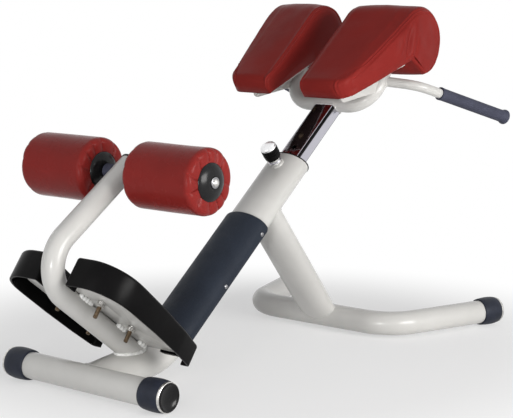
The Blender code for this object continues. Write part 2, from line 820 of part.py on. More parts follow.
def tray_outline(sign, inset=0.0):
    """D-shaped outline in the plate's own plane, optionally drawn in by the wall."""
    rough = [
        (-185.0, 42.0),
        (161.0, 57.0),
        (161.0, 149.0),
        (90.0, 162.0),
        (0.0, 170.0),
        (-90.0, 171.0),
        (-185.0, 166.0),
    ]
    radii = [8.0, 12.0, 13.0, 150.0, 260.0, 0.0, 84.0]
    loop = round_corners(rough, radii, 3)
    if inset:
        drawn = []
        count = len(loop)
        for k in range(count):
            before = Vector(loop[k - 1])
            here = Vector(loop[k])
            after = Vector(loop[(k + 1) % count])
            one = (here - before).normalized()
            two = (after - here).normalized()
            turn = Vector((-one.y - two.y, one.x + two.x)).normalized()
            lean = max(turn.dot(Vector((-one.y, one.x))), 0.5)
            drawn.append(tuple(here + turn * (inset / lean)))
        loop = drawn
    return [(t, sign * w) for t, w in loop]


trays = []
bracket_loop = round_corners([(-150, -125), (149, -125), (149, 125), (-150, 125)], [30.0] * 4, 4)
bracket = prism("foot_plate_bracket", [bracket_loop], 5.0, plate_frame(ANKLE_R + GAP), "frame_paint")
boolean(bracket, ankle_cut)
for side, sign in (("left", 1.0), ("right", -1.0)):
    tray = prism("foot_plate_" + side, [tray_outline(sign)], 110.0, plate_frame(-20.0), "black_plastic")
    top_frame = frame(plate_point(-183.0, 0.0, TOP_REAR), PLATE_T - PLATE_Q * TOP_FALL, LEFT)
    top_cut = block("tray_top_" + side, (170.0, sign * 100.0, 40.0), (460.0, 260.0, 80.0), top_frame)
    boolean(tray, top_cut)
    soft = tray.modifiers.new("edge", "BEVEL")
    soft.limit_method = "ANGLE"
    soft.angle_limit = math.radians(60.0)
    soft.width = 10.0 * MM
    soft.segments = 2
    base_frame = frame(plate_point(-183.0, 0.0, RIM_REAR), PLATE_T - PLATE_Q * RIM_FALL, LEFT)
    base_cut = block("tray_base_" + side, (170.0, sign * 100.0, -30.0), (460.0, 260.0, 60.0), base_frame)
    boolean(tray, base_cut)
    hollow = prism("tray_hollow_" + side, [tray_outline(sign, SKIN)], 120.0, plate_frame(-30.0), None)
    skin_cut = block(
        "tray_skin_" + side, (170.0, sign * 100.0, 40.0 - SKIN), (460.0, 260.0, 80.0), top_frame
    )
    boolean(hollow, skin_cut)
    boolean(tray, hollow)
    for tag, t in (("rear", PLATE_BOLT_T[0]), ("front", PLATE_BOLT_T[1])):
        w = sign * PLATE_BOLT_W
        top_q = TOP_REAR - TOP_FALL * (t + 183.0)
        boss_low = ANKLE_R + GAP + 5.0 + GAP
        boss = rod(
            "boss_%s_%s" % (side, tag), plate_point(t, w, boss_low), plate_point(t, w, top_q - 3.0), 11.0, sides=12
        )
        boolean(tray, boss, "UNION")
    for tag, t in (("rear", PLATE_BOLT_T[0]), ("front", PLATE_BOLT_T[1])):
        w = sign * PLATE_BOLT_W
        top_q = TOP_REAR - TOP_FALL * (t + 183.0)
        floor_q = top_q - 8.0
        recess = turned(
            "recess_%s_%s" % (side, tag),
            [(0.0, top_q + 5.0), (9.0, top_q + 5.0), (9.0, floor_q), (4.6, floor_q), (4.6, 20.0), (0.0, 20.0)],
            axis_frame(plate_point(t, w, 0.0), PLATE_Q),
            None,
            steps=12,
        )
        boolean(tray, recess)
        boolean(bracket, recess)
        head_low = floor_q + GAP
        nut = rod(
            "nut_%s_%s" % (side, tag), plate_point(t, w, 13.0), plate_point(t, w, 22.0), 8.4, sides=6
        )
        bolt = turned(
            "foot_plate_bolt_%s_%s" % (side, tag),
            [
                (0.0, head_low + 5.4),
                (6.2, head_low + 4.8),
                (8.2, head_low),
                (4.2, head_low),
                (4.2, 25.0),
                (9.4, 25.0),
                (9.4, 22.6),
                (4.2, 22.0),
                (4.2, -10.0),
                (0.0, -10.0),
            ],
            axis_frame(plate_point(t, w, 0.0), PLATE_Q),
            "zinc",
            steps=10,
        )
        boolean(bolt, nut, "UNION")
    mouth = block(
        "tray_mouth_" + side,
        (-1.0, sign * 48.0, 13.0),
        (304.0, 38.0, 36.0),
        plate_frame(),
    )
    boolean(tray, mouth)
    trays.append(tray)

# Ankle axle, its spacers and the two rollers
turned(
    "ankle_axle",
    [(0.0, 258.0), (9.0, 258.0), (AXLE_R, 257.0), (AXLE_R, -257.0), (9.0, -258.0), (0.0, -258.0)],
    axis_frame((AXLE_X, 0.0, AXLE_Z), LEFT),
    "steel",
)
SPACER = [(AXLE_R + GAP, 48.2), (16.0, 48.2), (16.0, 25.4), (AXLE_R + GAP, 25.4)]
ROLLER = [
    (14.4, ROLLER_OUT),
    (59.0, ROLLER_OUT),
    (68.6, ROLLER_OUT - 4.6),
    (ROLLER_R, ROLLER_OUT - 14.0),
    (ROLLER_R, ROLLER_IN + 14.0),
    (68.6, ROLLER_IN + 4.6),
    (59.0, ROLLER_IN),
    (14.4, ROLLER_IN),
]
CORE = [(10.4, ROLLER_OUT), (14.0, ROLLER_OUT), (14.0, ROLLER_IN), (10.4, ROLLER_IN)]
DISC = [(10.5, 11.0), (18.0, 10.7), (32.0, 7.4), (41.0, 1.4), (41.0, GAP), (10.5, GAP)]
for side, sign in (("left", 1.0), ("right", -1.0)):
    out = Vector((0.0, sign, 0.0))
    hub = (AXLE_X, 0.0, AXLE_Z)
    turned("axle_spacer_" + side, SPACER, axis_frame(hub, out), "cover", closed=True)
    roller = turned("ankle_roller_" + side, ROLLER, axis_frame(hub, out), "vinyl", steps=22, closed=True)
    core = turned("roller_core_" + side, CORE, axis_frame(hub, out), "steel", closed=True)
    outer_hub = (AXLE_X, sign * ROLLER_OUT, AXLE_Z)
    inner_hub = (AXLE_X, sign * ROLLER_IN, AXLE_Z)
    outer_disc = turned("roller_cap_outer_" + side, DISC, axis_frame(outer_hub, out), "black_plastic", closed=True)
    inner_disc = turned("roller_cap_inner_" + side, DISC, axis_frame(inner_hub, -out), "black_plastic", closed=True)
    turned(
        "axle_bolt_" + side,
        [
            (0.0, 269.5),
            (6.4, 268.6),
            (8.0, 264.5),
            (12.0, 264.5),
            (12.0, 262.2),
            (9.4, 262.2),
            (9.4, 258.3),
            (0.0, 258.3),
        ],
        axis_frame(hub, out),
        "zinc",
        steps=12,
    )
    moving("roller_axis_" + side, point(AXLE_X, sign * 155.6, AXLE_Z), roller, core, outer_disc, inner_disc)

# Pull pin, its housing, spring and knob
housing = turned(
    "pin_housing",
    [
        (4.7, 70.0),
        (9.6, 70.0),
        (11.0, 68.6),
        (11.0, 50.0),
        (13.0, 50.0),
        (13.0, 33.0),
        (8.6, 33.0),
        (8.6, 67.0),
        (4.7, 67.0),
    ],
    stem_frame(PIN_S),
    "nylon",
    closed=True,
)
boolean(housing, beam_cut)
turned(
    "pin_ring",
    [(13.3, 49.3), (15.6, 49.3), (16.5, 47.6), (15.6, 45.8), (13.3, 45.8)],
    stem_frame(PIN_S),
    "chrome",
    closed=True,
)
pin = turned(
    "pull_pin",
    [
        (0.0, 88.0),
        (3.6, 88.0),
        (4.2, 87.4),
        (4.2, 39.6),
        (8.1, 39.6),
        (8.1, 36.8),
        (6.0, 36.8),
        (6.0, 15.0),
        (4.6, 13.0),
        (0.0, 13.0),
    ],
    stem_frame(PIN_S),
    "steel",
    steps=12,
)
SPRING_LOW = 40.9
SPRING_HIGH = 65.7
TURNS = 4
PER_TURN = 6
pin_axis = stem_frame(PIN_S).to_3x3()
spring_path = []
for k in range(TURNS * PER_TURN + 1):
    angle = 2.0 * math.pi * k / PER_TURN
    height = SPRING_LOW + (SPRING_HIGH - SPRING_LOW) * k / (TURNS * PER_TURN)
    local = pin_axis @ Vector((6.4 * math.cos(angle), 6.4 * math.sin(angle), height))
    spring_path.append(Vector(rail(PIN_S)) + local)
sweep("pin_spring", spring_path, 0.9, "steel", sides=6)
RIBS = 12
knob_loop = []
for k in range(RIBS * 3):
    angle = 2.0 * math.pi * k / (RIBS * 3)
    reach = 19.5 if k % 3 else 18.3
    knob_loop.append((reach * math.cos(angle), reach * math.sin(angle)))
knob = prism("knob", [knob_loop], 34.0, stem_frame(PIN_S, 56.0), "black_plastic")
knob_core = turned(
    "knob_core",
    [(0.0, 32.3), (4.5, 32.3), (4.5, 26.0), (14.0, 26.0), (14.0, -1.0), (0.0, -1.0)],
    stem_frame(PIN_S, 56.0),
    None,
)
boolean(knob, knob_core)
cap = turned(
    "knob_cap",
    [(0.0, 97.6), (7.0, 96.8), (12.5, 94.6), (16.2, 91.8), (16.8, 90.3), (0.0, 90.3)],
    stem_frame(PIN_S),
    "zinc",
)
moving("pin_axis", point(*rail(PIN_S, 36.0)), pin, knob, cap)
moving(
    "post_axis",
    point(*rail(0.0)),
    post,
    shoe,
    cradle_tube,
    *pads,
    *plates,
    *handles,
    *grips,
    *bolts,
)
bpy.context.view_layer.update()
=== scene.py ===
"""Hyperextension bench, as photographed: painted oval tubes, a chrome post, red vinyl pads.

Lengths are millimetres: X forward from the rear cross tube's axis, Y to the left, Z up from
the floor. Only the lights and the floor at the end are placed in the scene's own metres.
"""

import math

import bmesh
import bpy
from mathutils import Matrix, Vector, noise


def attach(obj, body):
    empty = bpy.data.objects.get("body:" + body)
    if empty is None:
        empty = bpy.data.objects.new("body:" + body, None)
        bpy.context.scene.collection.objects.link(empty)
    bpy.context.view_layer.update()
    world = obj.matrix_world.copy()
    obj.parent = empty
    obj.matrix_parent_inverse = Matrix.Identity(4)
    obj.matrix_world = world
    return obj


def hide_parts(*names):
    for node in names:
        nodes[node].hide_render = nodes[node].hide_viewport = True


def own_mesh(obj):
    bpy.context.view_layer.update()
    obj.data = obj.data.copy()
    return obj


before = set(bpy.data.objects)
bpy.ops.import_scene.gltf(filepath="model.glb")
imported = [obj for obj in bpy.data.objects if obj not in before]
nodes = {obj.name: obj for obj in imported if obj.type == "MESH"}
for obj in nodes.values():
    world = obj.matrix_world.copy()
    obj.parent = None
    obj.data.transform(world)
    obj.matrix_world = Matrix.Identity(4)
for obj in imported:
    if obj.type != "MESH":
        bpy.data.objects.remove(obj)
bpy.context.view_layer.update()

MM = 0.001
ORIGIN_X = 562.5
LEFT = Vector((0.0, 1.0, 0.0))
UP = Vector((0.0, 0.0, 1.0))
SIDES = (("left", 1.0), ("right", -1.0))

# ---- materials
CELLS = None


def add_node(tree, kind, **values):
    """New node; each value goes to the input of that name, or else to the node's setting."""
    made = tree.nodes.new(kind)
    for key, value in values.items():
        if key in made.inputs:
            made.inputs[key].default_value = value
        else:
            setattr(made, key, value)
    return made


class Look:
    """A procedural finish: colour drift, smudges in the roughness and a fine grain in the bump.

    Each layer ends with its grain: the scale, detail and roughness of a noise, or the scale
    of cells and the word CELLS.
    """

    def __init__(self, name, slot, colour, metallic=0.0, shine=0.5):
        self.slot = slot
        self.colour = colour
        self.material = bpy.data.materials.new(name)
        self.material.use_nodes = True
        self.tree = self.material.node_tree
        self.shader = self.tree.nodes["Principled BSDF"]
        self.shader.inputs["Metallic"].default_value = metallic
        self.shader.inputs["Specular IOR Level"].default_value = shine
        self.place = add_node(self.tree, "ShaderNodeTexCoord").outputs["Object"]
        self.height = None

    def link(self, source, target):
        self.tree.links.new(source, target)

    def grain(self, scale, detail=4.0, rough=0.55):
        if detail is CELLS:
            made = add_node(
                self.tree, "ShaderNodeTexVoronoi", feature="DISTANCE_TO_EDGE", Scale=scale
            )
            out = made.outputs["Distance"]
        else:
            made = add_node(
                self.tree, "ShaderNodeTexNoise", Scale=scale, Detail=detail, Roughness=rough
            )
            out = made.outputs["Fac"]
        self.link(self.place, made.inputs["Vector"])
        return out

    def spread(self, grain, low, high, out_low, out_high):
        """The grain's values from low to high, laid over another range."""
        ends = {"From Min": low, "From Max": high, "To Min": out_low, "To Max": out_high}
        made = add_node(self.tree, "ShaderNodeMapRange", **ends)
        self.link(self.grain(*grain), made.inputs["Value"])
        return made.outputs["Result"]

    def mix(self, share, over):
        """Mix the base colour so far with another one."""
        base = self.shader.inputs["Base Color"]
        made = add_node(self.tree, "ShaderNodeMix", data_type="RGBA")
        under, top = made.inputs[6], made.inputs[7]
        if base.links:
            self.link(base.links[0].from_socket, under)
        else:
            under.default_value = base.default_value
        top.default_value = (*over, 1.0)
        self.link(share, made.inputs[0])
        self.link(made.outputs[2], base)
        return self

    def drift(self, dark, light, *grain):
        """Colour between a darker and a lighter version of the base colour."""
        darker, lighter = ([min(c * by, 1.0) for c in self.colour] for by in (dark, light))
        self.shader.inputs["Base Color"].default_value = (*darker, 1.0)
        return self.mix(self.spread(grain, 0.35, 0.65, 0.0, 1.0), lighter)

    def tint(self, colour, low, high, share, *grain):
        """Lay a second colour over the first one where the grain is high."""
        return self.mix(self.spread(grain, low, high, 0.0, share), colour)

    def smudge(self, low, high, *grain):
        share = self.spread(grain, 0.3, 0.7, low, high)
        self.link(share, self.shader.inputs["Roughness"])
        return self

    def bump(self, depth, *grain):
        """Fine relief; depth is in millimetres."""
        made = add_node(self.tree, "ShaderNodeBump", Strength=1.0, Distance=depth * MM)
        self.link(self.grain(*grain), made.inputs["Height"])
        if self.height is not None:
            self.link(self.height, made.inputs["Normal"])
        self.height = made.outputs["Normal"]
        self.link(self.height, self.shader.inputs["Normal"])
        return self


paint = Look("frame_paint", "frame_paint", (0.575, 0.567, 0.547), shine=0.40)
paint.drift(0.95, 1.04, 7.0).tint((0.53, 0.515, 0.49), 0.55, 0.80, 0.20, 16.0, 2.0, 0.5)
paint.smudge(0.22, 0.27, 12.0, 2.0).bump(0.008, 320.0, 3.0)

weld = Look("weld_paint", "frame_paint", (0.86, 0.86, 0.84))
weld.drift(0.86, 1.10, 150.0, 5.0).smudge(0.12, 0.30, 200.0, 5.0).bump(0.12, 500.0, 4.0)

chrome = Look("chrome", "chrome", (0.53, 0.52, 0.575), 1.0)
chrome.drift(0.94, 1.03, 9.0).smudge(0.04, 0.11, 260.0, 5.0, 0.6).bump(0.03, 30.0, 3.0)

zinc = Look("zinc", "zinc", (0.68, 0.665, 0.64), 1.0)
zinc.drift(0.70, 1.12, 160.0, 6.0).smudge(0.20, 0.38, 420.0, 5.0).bump(0.03, 1200.0, 3.0)

satin = Look("satin_metal", "zinc", (0.84, 0.84, 0.85), 1.0)
satin.drift(0.93, 1.05, 50.0, 4.0).smudge(0.24, 0.36, 180.0, 5.0).bump(0.006, 900.0, 3.0)

steel = Look("steel", "steel", (0.30, 0.30, 0.31), 1.0)
steel.drift(0.82, 1.08, 60.0, 6.0).smudge(0.26, 0.44, 300.0, 5.0).bump(0.03, 900.0, 4.0)

thread = Look("thread", "zinc", (0.16, 0.115, 0.075), 1.0)
thread.drift(0.6, 1.3, 200.0, 5.0).smudge(0.40, 0.62, 500.0, 5.0).bump(0.08, 1500.0, 3.0)


def vinyl_look(name, colour, shine, low, high, dents):
    """Grained vinyl: the pads' is duller than the rollers', which is drawn tight."""
    look = Look(name, "vinyl", colour, shine=shine)
    look.drift(0.90, 1.08, 5.0, 5.0)
    look.tint((0.13, 0.013, 0.012), 0.58, 0.80, 0.35, 300.0, 6.0, 0.65)
    look.smudge(low, high, 26.0, 6.0)
    return look.bump(dents, 60.0, 3.0).bump(0.12, 620.0, CELLS)


vinyl = vinyl_look("vinyl", (0.212, 0.0200, 0.0170), 0.034, 0.30, 0.43, 0.25)
tight = vinyl_look("vinyl_tight", (0.220, 0.0195, 0.0168), 0.085, 0.21, 0.31, 0.06)

moulding = Look("cover", "cover", (0.016, 0.021, 0.032), shine=0.15)
moulding.drift(0.85, 1.15, 8.0).tint((0.030, 0.037, 0.052), 0.18, 0.40, 0.8, 520.0, CELLS)
moulding.smudge(0.50, 0.64, 30.0, 5.0).bump(0.35, 520.0, CELLS)

plastic = Look("black_plastic", "black_plastic", (0.0032, 0.0030, 0.0032), shine=0.06)
plastic.drift(0.75, 1.35, 12.0, 5.0).smudge(0.26, 0.40, 9.0, 5.0, 0.6)
plastic.bump(0.6, 14.0, 3.0).bump(0.04, 900.0, 4.0)

board = Look("board_paint", "frame_paint", (0.034, 0.017, 0.015), shine=0.15)
board.drift(0.75, 1.3, 22.0, 5.0).smudge(0.50, 0.68, 60.0, 5.0).bump(0.05, 500.0, 4.0)

gloss = Look("gloss_black", "black_plastic", (0.0075, 0.0075, 0.0080), shine=0.20)
gloss.drift(0.8, 1.3, 18.0, 5.0).smudge(0.16, 0.27, 30.0, 5.0, 0.6).bump(0.01, 900.0, 4.0)

rubber = Look("rubber", "rubber", (0.014, 0.017, 0.028), shine=0.22)
rubber.drift(0.8, 1.25, 30.0, 5.0).smudge(0.42, 0.60, 40.0, 5.0).bump(0.08, 700.0, 4.0)

foam = Look("grip", "grip", (0.062, 0.065, 0.098), shine=0.2)
foam.drift(0.86, 1.14, 25.0, 5.0).tint((0.030, 0.032, 0.050), 0.0, 0.12, 0.6, 700.0, CELLS)
foam.smudge(0.58, 0.74, 60.0, 5.0).bump(0.25, 800.0, 4.0)

nylon = Look("nylon", "nylon", (0.72, 0.72, 0.70))
nylon.drift(0.92, 1.05, 40.0, 4.0).smudge(0.34, 0.48, 80.0, 5.0).bump(0.04, 900.0, 3.0)

# ---- forms


def point(x, y, z):
    return Vector(((x - ORIGIN_X) * MM, y * MM, z * MM))


def dress(obj, look, body, *swaps, angle=38.0, slot=None):
    """Dress a mesh, let it ride on its body and hide the CAD nodes that it stands for."""
    obj.data.materials.clear()
    obj.data.materials.append(look.material)
    obj.data.shade_smooth()
    obj.data.set_sharp_from_angle(angle=math.radians(angle))
    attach(obj, body)
    if swaps:
        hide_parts(*swaps)
    return obj


def mesh_object(name, work):
    bmesh.ops.recalc_face_normals(work, faces=work.faces)
    mesh = bpy.data.meshes.new(name)
    work.to_mesh(mesh)
    work.free()
    obj = bpy.data.objects.new(name, mesh)
    bpy.context.scene.collection.objects.link(obj)
    return obj


def loft(name, rings, closed=False, turn=0):
    """Skin over rings of points in metres; closed joins the last ring to the first, turned."""
    work = bmesh.new()
    rows = [[work.verts.new(spot) for spot in ring] for ring in rings]
    pairs = list(zip(rows, rows[1:]))
    if closed:
        pairs.append((rows[-1], rows[0][turn:] + rows[0][:turn]))
    count = len(rows[0])
    for one, two in pairs:
        for k in range(count):
            after = (k + 1) % count
            work.faces.new((one[k], one[after], two[after], two[k]))
    if not closed:
        work.faces.new(rows[0])
        work.faces.new(rows[-1])
    return mesh_object(name, work)


def fillet(points, radii, steps):
    """Path through the points with each inner corner replaced by an arc."""
    points = [Vector(spot) for spot in points]
    path = [points[0]]
    for before, corner, after, radius in zip(points, points[1:], points[2:], radii):
        back = (before - corner).normalized()
        ahead = (after - corner).normalized()
        half = 0.5 * back.angle(ahead)
        start = corner + back * (radius / math.tan(half))
        centre = corner + (back + ahead).normalized() * (radius / math.sin(half))
        first = (start - centre).normalized()
        side = (-back - first * (-back).dot(first)).normalized()
        for step in range(steps + 1):
            angle = (math.pi - 2.0 * half) * step / steps
            path.append(centre + (first * math.cos(angle) + side * math.sin(angle)) * radius)
    return path + [points[-1]]


def round_corners(loop, radii, steps=8):
    """Closed flat outline, each corner rounded by its own radius; radius 0 keeps it sharp."""
    count = len(loop)
    out = []
    for index, radius in enumerate(radii):
        trio = [Vector((*loop[(index + k) % count], 0.0)) for k in (-1, 0, 1)]
        arc = fillet(trio, [radius], steps)[1:-1] if radius else [trio[1]]
        out.extend((spot.x, spot.y) for spot in arc)
    return out


def ellipse(half_y, half_n, count):
    turn = 2.0 * math.pi / count
    return [(half_y * math.cos(turn * k), half_n * math.sin(turn * k)) for k in range(count)]


def rounded_box(wide, deep, radius, steps=8):
    x, y = 0.5 * wide, 0.5 * deep
    return round_corners([(x, -y), (x, y), (-x, y), (-x, -y)], [radius] * 4, steps)


def sweep_rings(path, outline, across, warp):
    rings = []
    for k, spot in enumerate(path):
        along = (path[min(k + 1, len(path) - 1)] - path[max(k - 1, 0)]).normalized()
        out = along.cross(across)
        rings.append([point(*warp(spot + across * x + out * y)) for x, y in outline])
    return rings


def tube(name, path, outline, across, inner=None, warp=lambda place: place):
    """Tube along a flat path, square to the across axis; with an inner outline it is hollow."""
    rings = sweep_rings(path, outline, across, warp)
    if inner is None:
        return loft(name, rings)
    return loft(name, rings + sweep_rings(path, inner, across, warp)[::-1], closed=True)


def frame_matrix(origin, x_axis, y_axis):
    """Frame from two unit axes that are square to each other."""
    matrix = Matrix((x_axis, y_axis, x_axis.cross(y_axis))).transposed().to_4x4()
    matrix.translation = point(*origin)
    return matrix


def axis_frame(origin, axis):
    matrix = Vector(axis).to_track_quat("Z", "Y").to_matrix().to_4x4()
    matrix.translation = point(*origin)
    return matrix


def turned(name, profile, matrix, steps, shape=None):
    """Turned piece from (radius, height) pairs about Z; shape may vary a pair with the angle.

    A profile that starts on the axis makes a solid piece, and one that starts off it a ring.
    """
    work = bmesh.new()
    rows = []
    for index, (radius, height) in enumerate(profile):
        row = []
        for k in range(steps if radius else 1):
            angle = 2.0 * math.pi * k / steps
            r, h = shape(index, angle, radius, height) if shape else (radius, height)
            spot = Vector((r * MM * math.cos(angle), r * MM * math.sin(angle), h * MM))
            row.append(work.verts.new(matrix @ spot))
        rows.append(row)
    pairs = list(zip(rows, rows[1:]))
    if profile[0][0]:
        pairs.append((rows[-1], rows[0]))
    for one, two in pairs:
        for k in range(steps):
            spots = ((one, k), (one, k + 1), (two, k + 1), (two, k))
            corners = dict.fromkeys(row[n % len(row)] for row, n in spots)
            work.faces.new(tuple(corners))
    return mesh_object(name, work)


def lathe(name, profile, matrix, steps, *dressing, shape=None, **options):
    """Turned piece that is dressed at once."""
    return dress(turned(name, profile, matrix, steps, shape), *dressing, **options)


def prism(name, outline, low, high, matrix):
    """Flat outline raised along local Z from low to high."""
    rings = []
    for height in (low, high):
        rings.append([matrix @ Vector((x * MM, y * MM, height * MM)) for x, y in outline])
    return loft(name, rings)


def rod(name, start, end, radius):
    axis = end - start
    profile = [(0.0, axis.length), (radius, axis.length), (radius, 0.0), (0.0, 0.0)]
    return turned(name, profile, axis_frame(start, axis), 28)


def soften(obj, width):
    """Rounded edges."""
    edge = obj.modifiers.new("edge", "BEVEL")
    edge.limit_method = "ANGLE"
    edge.angle_limit = math.radians(50.0)
    edge.width = width * MM
    edge.segments = 2


def carve(obj, cutters, operation="DIFFERENCE", width=0.0):
    """Apply boolean cuts, and then rounded edges if a width is given."""
    for cutter in cutters:
        step = obj.modifiers.new("cut", "BOOLEAN")
        step.operation = operation
        step.solver = "EXACT"
        step.object = cutter
    if width:
        soften(obj, width)
    bpy.context.view_layer.update()
    graph = bpy.context.evaluated_depsgraph_get()
    mesh = bpy.data.meshes.new_from_object(obj.evaluated_get(graph))
    obj.modifiers.clear()
    obj.data = mesh
    for cutter in cutters:
        bpy.data.objects.remove(cutter, do_unlink=True)


def nearest(ring, spot):
    """Index of the ring's point that is nearest to the spot."""
    return min(range(len(ring)), key=lambda k: (ring[k] - spot).length)


def bead(name, line, radius, body, closed=True, pitch=5.5, seed=0.0, look=paint):
    """Weld bead: a lumpy rope of ripples along a line of points."""
    line = [Vector(spot) for spot in line]
    count = len(line)
    rows = []
    run = 0.0
    for k, spot in enumerate(line):
        before = line[k - 1] if closed or k else line[0]
        after = line[(k + 1) % count] if closed or k < count - 1 else line[-1]
        along = (after - before).normalized()
        if k:
            run += (spot - line[k - 1]).length
        side = along.orthogonal().normalized()
        other = along.cross(side)
        ripple = 0.78 + 0.34 * abs(math.sin(math.pi * run / pitch))
        ripple += 0.22 * noise.noise(spot * 0.11 + Vector((seed, 0, 0)))
        if not closed:
            ripple *= min(1.0, 0.35 + 0.65 * min(k, count - 1 - k) / 4.0)
        reach = radius * ripple
        ring = [point(*(spot + side * a + other * b)) for a, b in ellipse(reach, reach, 10)]
        if rows:
            turn = nearest(ring, rows[-1][0])
            ring = ring[turn:] + ring[:turn]
        rows.append(ring)
    rope = loft(name, rows, closed, nearest(rows[0], rows[-1][0]))
    return dress(rope, look, body, angle=80.0)


def densify(line, step):
    """Points no further apart than the step along an open line."""
    line = [Vector(spot) for spot in line]
    out = [line[0]]
    for one, two in zip(line, line[1:]):
        parts = max(1, math.ceil((two - one).length / step))
        out.extend(one.lerp(two, k / parts) for k in range(1, parts + 1))
    return out


def smooth(value):
    """Smooth step from 0 to 1."""
    value = min(max(value, 0.0), 1.0)
    return value * value * (3.0 - 2.0 * value)


def line_gap(spot, one, two):
    """Distance of a spot from a straight stretch."""
    run = two - one
    share = min(max((spot - one).dot(run) / run.length_squared, 0.0), 1.0)
    return (spot - one.lerp(two, share)).length


def meet(start, direction, length, test, steps=40):
    """Where a line enters the form that the test describes."""
    low = 0.0
    for k in range(1, steps + 1):
        high = length * k / steps
        if test(start + direction * high) < 1.0:
            break
        low = high
    for halving in range(24):
        middle = 0.5 * (low + high)
        if test(start + direction * middle) < 1.0:
            high = middle
        else:
            low = middle
    return start + direction * high


def in_tube(centre, axis, radius):
    """Test that is below 1 inside a round tube."""

    def test(place):
        gap = place - centre
        return (gap - axis * gap.dot(axis)).length_squared / radius ** 2

    return test


# ---- base
BASE_R = 30.0
BASE_Z = 36.0
REAR_END = 222.0
REAR_LIP = 170.0
FRONT_CORNER = Vector((850.0, 215.0, BASE_Z))
FRONT_MIDDLE = Vector((FRONT_CORNER.x, 0.0, BASE_Z))
CORNER_R = 100.0
CAP_END = Vector((1193.0, 323.0, BASE_Z))
CAP_LENGTH = 67.0
CAP_FACE = 15.0
CAP_BODY = [
    (0.0, 56.0), (28.6, 57.0), (29.6, 63.0), (31.4, 63.0), (33.0, 60.6), (34.2, 57.0),
    (35.2, 51.0), (35.8, 44.0), (36.0, 34.0), (35.6, 23.0), (34.8, 13.0), (34.2, 8.0),
    (33.4, 5.4), (32.4, 4.6), (30.2, 4.8), (30.2, 40.0), (0.0, 40.0),
]
CAP_RING = [(29.4, 61.0), (29.4, 66.2), (31.6, 66.6), (32.9, 65.8), (33.3, 64.4), (33.0, 60.8)]
CAP_DISC = [
    (0.0, 60.4), (8.0, 60.8), (16.0, 62.0), (22.0, 63.6), (27.0, 65.8), (29.4, 68.2),
    (30.8, 68.1), (31.3, 67.2), (31.3, 59.0), (0.0, 59.0),
]


def mirror(spot, sign=-1.0):
    return Vector((spot.x, sign * spot.y, spot.z))


round_base = ellipse(BASE_R, BASE_R, 56)
rear_path = densify([(0.0, -REAR_END, BASE_Z), (0.0, REAR_END, BASE_Z)], 30.0)
rear_tube = tube("base_rear", rear_path, round_base, Vector((1.0, 0.0, 0.0)))
dress(rear_tube, paint, "frame", "rear_cross_tube")

arm = (CAP_END - FRONT_CORNER).normalized()
arm_end = CAP_END - arm * CAP_FACE
front_turns = [mirror(arm_end), mirror(FRONT_CORNER), FRONT_CORNER, arm_end]
front_path = fillet(front_turns, [CORNER_R, CORNER_R], 20)
dress(tube("base_front", front_path, round_base, UP), paint, "frame", "front_base_tube")

for side, sign in SIDES:
    out = mirror(arm, sign)
    places = {
        "rear": axis_frame((0.0, sign * REAR_LIP, BASE_Z), (0.0, sign, 0.0)),
        "front": axis_frame(mirror(CAP_END, sign) - out * CAP_LENGTH, out),
    }
    for tag, place in places.items():
        end = "_%s_%s" % (tag, side)
        lathe("shoe" + end, CAP_BODY, place, 64, rubber, "frame", "foot_cap" + end)
        lathe("shoe_ring" + end, CAP_RING, place, 64, zinc, "frame")
        lathe("shoe_disc" + end, CAP_DISC, place, 64, gloss, "frame")

# ---- beam
BEAM_A = 36.0
BEAM_B = 56.0
BEAM_WALL = 3.0
TILT = math.radians(38.7)
BEAM_TOP = Vector((708.5, 0.0, 441.0))
BEAM_FOOT = Vector((10.0, 0.0, 39.0))
BEAM_BEND = 150.0
BEAM_LOW = BEAM_FOOT.z - BEAM_A
PRESS_FROM = 150.0
PRESS_DEPTH = 0.17
SEAM_FROM = -14.0
ALONG = Vector((math.cos(TILT), 0.0, math.sin(TILT)))
ABOVE = Vector((-math.sin(TILT), 0.0, math.cos(TILT)))


def rail(s, n=0.0, y=0.0):
    """Point s along the beam from its upper end, n above its axis and y to the left."""
    return BEAM_TOP + ALONG * s + ABOVE * n + LEFT * y


def pressing(x):
    """Share of its height that the oval keeps towards the cross tube, where it is pressed."""
    return 1.0 - PRESS_DEPTH * smooth((PRESS_FROM - x) / (PRESS_FROM - BEAM_FOOT.x))


def press(place):
    """Point of the straight oval, moved to where the pressing leaves it."""
    x, y, z = place
    return Vector((x, y, BEAM_LOW + (z - BEAM_LOW) * pressing(x)))


beam_corner = BEAM_TOP - ALONG * ((BEAM_TOP.z - BEAM_FOOT.z) / math.sin(TILT))
beam_path = densify(fillet([BEAM_FOOT, beam_corner, BEAM_TOP], [BEAM_BEND], 24), 24.0)
beam_skin = ellipse(BEAM_B, BEAM_A, 72)
beam_bore = ellipse(BEAM_B - BEAM_WALL, BEAM_A - BEAM_WALL, 72)
dress(tube("beam_tube", beam_path, beam_skin, LEFT, beam_bore, press), paint, "frame", "main_beam")


def in_beam(place):
    """Below 1 inside the beam's outer skin."""
    x, y, z = place
    spot = Vector((x, 0.0, BEAM_LOW + (z - BEAM_LOW) / pressing(x)))
    gap = min(line_gap(spot, one, two) for one, two in zip(beam_path, beam_path[1:]))
    return (y / BEAM_B) ** 2 + (gap / BEAM_A) ** 2


# weld where the pressed beam meets the rear cross tube, left open along the underside
rear_seam = []
for y, n in beam_skin:
    if n < SEAM_FROM:
        continue
    z = press(BEAM_FOOT + UP * n).z
    x = math.sqrt(max(BASE_R ** 2 - (z - BASE_Z) ** 2, 9.0)) + 0.6
    rear_seam.append(Vector((x, y, z)))
steps = [(spot - rear_seam[k - 1]).length for k, spot in enumerate(rear_seam)]
first = steps.index(max(steps))
rear_seam = rear_seam[first:] + rear_seam[:first]
bead("weld_beam_rear", rear_seam, 2.6, "frame", closed=False, seed=1.0)

